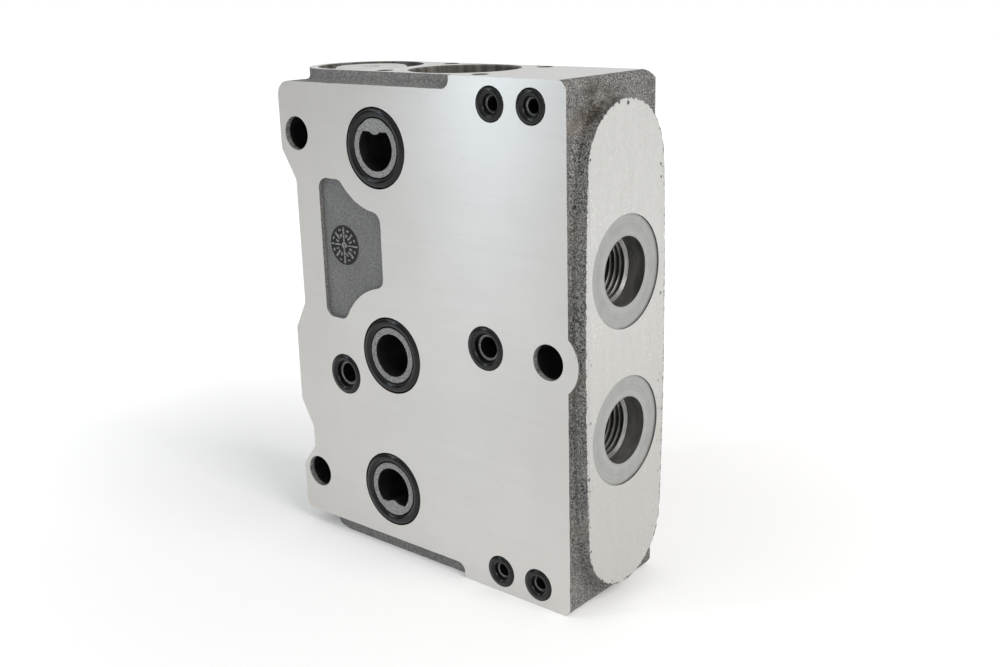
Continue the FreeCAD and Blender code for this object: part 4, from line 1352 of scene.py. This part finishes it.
@dataclass
class InnerParts:
    """The nodes that keep the frame's own shape, and the finish of each."""

    finishes: dict[str, Finish] = field(
        default_factory=lambda: {
            "main_spool": Metal(),
            "spool_plug": Metal(name="black_oxide", low=grey(0.03), high=grey(0.08), roughness=0.4),
            "compensator_piston": Metal(name="ground_piston"),
            "orifice_jet": Metal(name="turned_brass", low=(0.5, 0.34, 0.13, 1), high=(0.72, 0.53, 0.25, 1)),
            "compensator_plug": Metal(name="plug_face", low=(0.55, 0.55, 0.54, 1), high=(0.72, 0.72, 0.7, 1),
                                      roughness=0.3, metallic=0.5, stretch=(1800.0, 160.0, 160.0)),
            "shuttle_seat": Metal(name="hardened_seat", low=grey(0.05), high=grey(0.12),
                                  roughness=0.35),
            "shuttle_ball": Metal(name="polished_ball", roughness=0.1),
        }
    )

    @staticmethod
    def put_on(node: Piece, material: Material) -> None:
        """Assign a finish to a node's material slots.

        Args:
            node: The frame's node.
            material: The finish.
        """
        for slot in node.material_slots:
            slot.material = material
        LOG.info("dressed %s", node.name)

    def dress(self) -> None:
        """Give every inner node and every ring its finish."""
        rubber = Nitrile().make()
        for name, node in frame["nodes"].items():
            if name.endswith("_ring"):
                self.put_on(node, rubber)
        for name, finish in self.finishes.items():
            self.put_on(frame["nodes"][name], finish.make())


@dataclass
class CoilSpring:
    """The compensator's spring, copied from the frame.

    Lengths are in millimetres.
    """

    node: str = "compensator_spring"
    joint: str = "compensator_slide"
    seat_z: float = 71.45
    foot: Triple = (-40.2, 0.25, 40.55)
    travel: float = 8.0

    def build(self, material: Material, body: str) -> Piece:
        """Copy the frame's spring and hang it on a body.

        Args:
            material: The finish of its wire.
            body: The body that it stands on.

        Returns:
            The spring's piece.
        """
        mesh = frame["nodes"][self.node].data.copy()
        mesh.name = "coil_spring"
        mesh.materials.clear()
        mesh.materials.append(material)
        piece = link(bpy.data.objects.new("coil_spring", mesh))
        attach(piece, body)
        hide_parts(self.node)
        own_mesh(piece)
        return piece


@dataclass(frozen=True)
class Lamp:
    """A soft rectangular lamp; its place and size are in metres, its power in watts."""

    name: str
    place: Triple
    size: Pair
    power: float
    colour: Triple

    def hang(self, target: Vector) -> None:
        """Put the lamp into the scene.

        Args:
            target: The point that it faces, in metres.
        """
        light = bpy.data.lights.new(self.name, "AREA")
        light.shape = "RECTANGLE"
        light.size, light.size_y = self.size
        light.energy = self.power
        light.color = self.colour
        lamp = link(bpy.data.objects.new(self.name, light))
        lamp.location = self.place
        lamp.rotation_euler = (target - Vector(self.place)).to_track_quat("-Z", "Y").to_euler()


@dataclass
class Studio:
    """Floor, lamps, world and camera."""

    camera_at: Triple = (256.44, -286.39, 188.59)
    azimuth: float = 40.3547
    elevation: float = 16.4087
    roll: float = -1.4249
    lens: float = 43.626
    sensor: float = 36.0
    clip: Pair = (0.01, 20.0)
    floor_reach: float = 3.0
    floor_drop: float = 0.00005
    lamps: tuple[Lamp, ...] = (
        Lamp("strip_lamp", (-0.77, -0.94, 0.6), (0.04, 1.0), 2.3, (0.72, 0.87, 1.0)),
        Lamp("high_lamp", (-1.0, -0.72, 0.85), (0.4, 0.2), 0.9, (1.0, 0.95, 0.88)),
        Lamp("side_lamp", (0.95, -0.1, 0.75), (0.7, 0.7), 9.0, (1.0, 0.985, 0.96)),
    )
    aim: Triple = (0.0, 0.0, 0.08)
    gloom_from: Triple = (-0.72, -0.68, 0.12)

    def floor(self) -> Piece:
        """Lay the floor.

        Returns:
            The floor's piece.
        """
        mesh = bpy.data.meshes.new("studio_floor")
        reach = self.floor_reach
        corners = [(x * reach, y * reach, -self.floor_drop) for x, y in ((-1, -1), (1, -1), (1, 1), (-1, 1))]
        mesh.from_pydata(corners, [], [(0, 1, 2, 3)])
        floor = link(bpy.data.objects.new("studio_floor", mesh))
        material = bpy.data.materials.new("studio_floor")
        material.use_nodes = True
        g = Graph(material.node_tree)
        g.tree.nodes.clear()
        paper = g.add("ShaderNodeBsdfDiffuse", Color=grey(0.86))
        glow = g.add("ShaderNodeEmission", Color=(1, 1, 1, 1))
        path = g.add("ShaderNodeLightPath")
        spread = g.measure("LENGTH", g.add("ShaderNodeTexCoord").outputs["Object"])
        lift = g.plus(0.15, g.times(g.step(spread, 0.08, 0.4), 0.4))
        lift = g.times(path.outputs["Is Camera Ray"], lift)
        mirrored = g.times(path.outputs["Is Glossy Ray"], 0.22)
        g.wire(g.plus(lift, mirrored), glow.inputs["Strength"])
        both = g.add("ShaderNodeAddShader")
        g.wire(paper.outputs[0], both.inputs[0])
        g.wire(glow.outputs[0], both.inputs[1])
        g.wire(both.outputs[0], g.add("ShaderNodeOutputMaterial").inputs["Surface"])
        mesh.materials.append(material)
        return floor

    def world(self) -> None:
        """Fill the surroundings with even white light."""
        world = bpy.data.worlds.new("studio")
        bpy.context.scene.world = world
        world.use_nodes = True
        g = Graph(world.node_tree)
        g.tree.nodes.clear()
        path = g.add("ShaderNodeLightPath")
        back = g.add("ShaderNodeBackground", Color=(1, 1, 1, 1))
        toward = g.measure("DOT_PRODUCT", g.add("ShaderNodeTexCoord").outputs["Generated"], self.gloom_from)
        gloom = g.times(g.step(toward, 0.7, 0.99), 0.66)
        mirrored = g.times(path.outputs["Is Glossy Ray"], g.minus(0.15, gloom))
        strength = g.plus(0.58, g.times(path.outputs["Is Camera Ray"], 0.42))
        strength = g.plus(strength, mirrored)
        g.wire(strength, back.inputs["Strength"])
        g.wire(back.outputs[0], g.add("ShaderNodeOutputWorld").inputs["Surface"])

    def camera(self) -> None:
        """Set the camera where the photograph was taken."""
        az, el, ro = (math.radians(v) for v in (self.azimuth, self.elevation, self.roll))
        back = Vector((math.sin(az) * math.cos(el), -math.cos(az) * math.cos(el), math.sin(el)))
        right = Vector((math.cos(az), math.sin(az), 0))
        up = back.cross(right)
        across = right * math.cos(ro) + up * math.sin(ro)
        upward = up * math.cos(ro) - right * math.sin(ro)
        data = bpy.data.cameras.new("camera")
        data.lens = self.lens
        data.sensor_width = self.sensor
        data.clip_start, data.clip_end = self.clip
        camera = link(bpy.data.objects.new("camera", data))
        turn = Matrix((across, upward, back)).transposed().to_4x4()
        camera.matrix_world = Matrix.Translation(Vector(self.camera_at) * MM) @ turn
        bpy.context.scene.camera = camera

    def build(self) -> None:
        """Set up the whole studio."""
        self.floor()
        for lamp in self.lamps:
            lamp.hang(Vector(self.aim))
        self.world()
        self.camera()
        bpy.context.scene.view_settings.view_transform = "Standard"


@dataclass
class ValveSection:
    """The whole section."""

    body: str = "section_body"
    corners: tuple[Pair, ...] = ((-1, -1), (1, -1), (-1, 1), (1, 1))
    studio: Studio = field(default_factory=Studio)
    casting: Casting = field(default_factory=Casting)
    dial: DateDial = field(default_factory=DateDial)
    inner: InnerParts = field(default_factory=InnerParts)
    spring: CoilSpring = field(default_factory=CoilSpring)

    def lands(self) -> None:
        """Raise the land inside each ring's groove."""
        plain = SandCast(name="seat_land", dark=grey(0.14), light=(0.4, 0.4, 0.395, 1), warmth=0.0,
                         depth=0.00003, calm_share=0.0).make()
        # Painted shade: the small lands' turned rims are darker than the large lands' faces.
        rim = Turned(name="seat_rim", axis=Axis.Y, dull=grey(0.09), bright=(0.26, 0.26, 0.255, 1)).make()
        # Painted shade: the land walls' near-black finish.
        dark = BoreWall(name="land_wall").make()
        for word, (x, z, seat) in LAYOUT.seats.items():
            land = SeatLand(name=f"{word}_land", centre=(x, z), seat=seat)
            land.build(plain if land.cut is land.large else rim, dark, self.body)

    def threads(self) -> None:
        """Wind the threads of the work ports and of the cap-screw holes."""
        port_metal = Turned(name="port_thread", centre=PORT_CENTRE, fold_z=LAYOUT.middle_z * MM,
                            dull=(0.2, 0.2, 0.19, 1), bright=(0.42, 0.41, 0.4, 1),
                            metallic=0.85, roughness=0.25).make()
        for word, z in LAYOUT.ports.items():
            CoiledThread(
                name=f"{word}_port_thread", axis=Axis.X, mouth=(LAYOUT.pad_x, LAYOUT.port_y, z), into=-1.0,
                wall=10.48, crest=9.3, pitch=1.814, length=13.6, lead_in=5.4,
            ).build(port_metal, self.body)
        ends = (("upper", LAYOUT.top_z, -1.0), ("lower", 0.0, 1.0))
        for (word, z, into), spread in zip(ends, LAYOUT.screw_spreads):
            for i, (side, deep) in enumerate(self.corners):
                x = LAYOUT.cap_x + side * spread / 2
                y = LAYOUT.middle_y + deep * LAYOUT.screw_gap / 2
                CoiledThread(
                    name=f"{word}_screw_thread_{i + 1}", axis=Axis.Z, mouth=(x, y, z), into=into,
                    wall=2.59, crest=2.36, pitch=1.0, length=9.5, lead_in=1.0, steps=28,
                ).build(port_metal, self.body)

    def build(self) -> None:
        """Build and dress every piece."""
        self.studio.build()
        casting = self.casting.build()
        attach(casting, self.body)
        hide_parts("housing")
        LOG.info("built valve_casting, %d faces", len(casting.data.polygons))
        self.lands()
        self.dial.build(self.body)
        self.threads()
        self.inner.dress()
        wire = Metal(name="spring_wire", low=grey(0.2), high=grey(0.36), roughness=0.3)
        self.spring.build(wire.make(), self.body)
        LOG.info("built coil_spring")


def main() -> None:
    """Build the section."""
    ValveSection().build()
    bpy.context.view_layer.update()


if __name__ == "__main__":
    main()
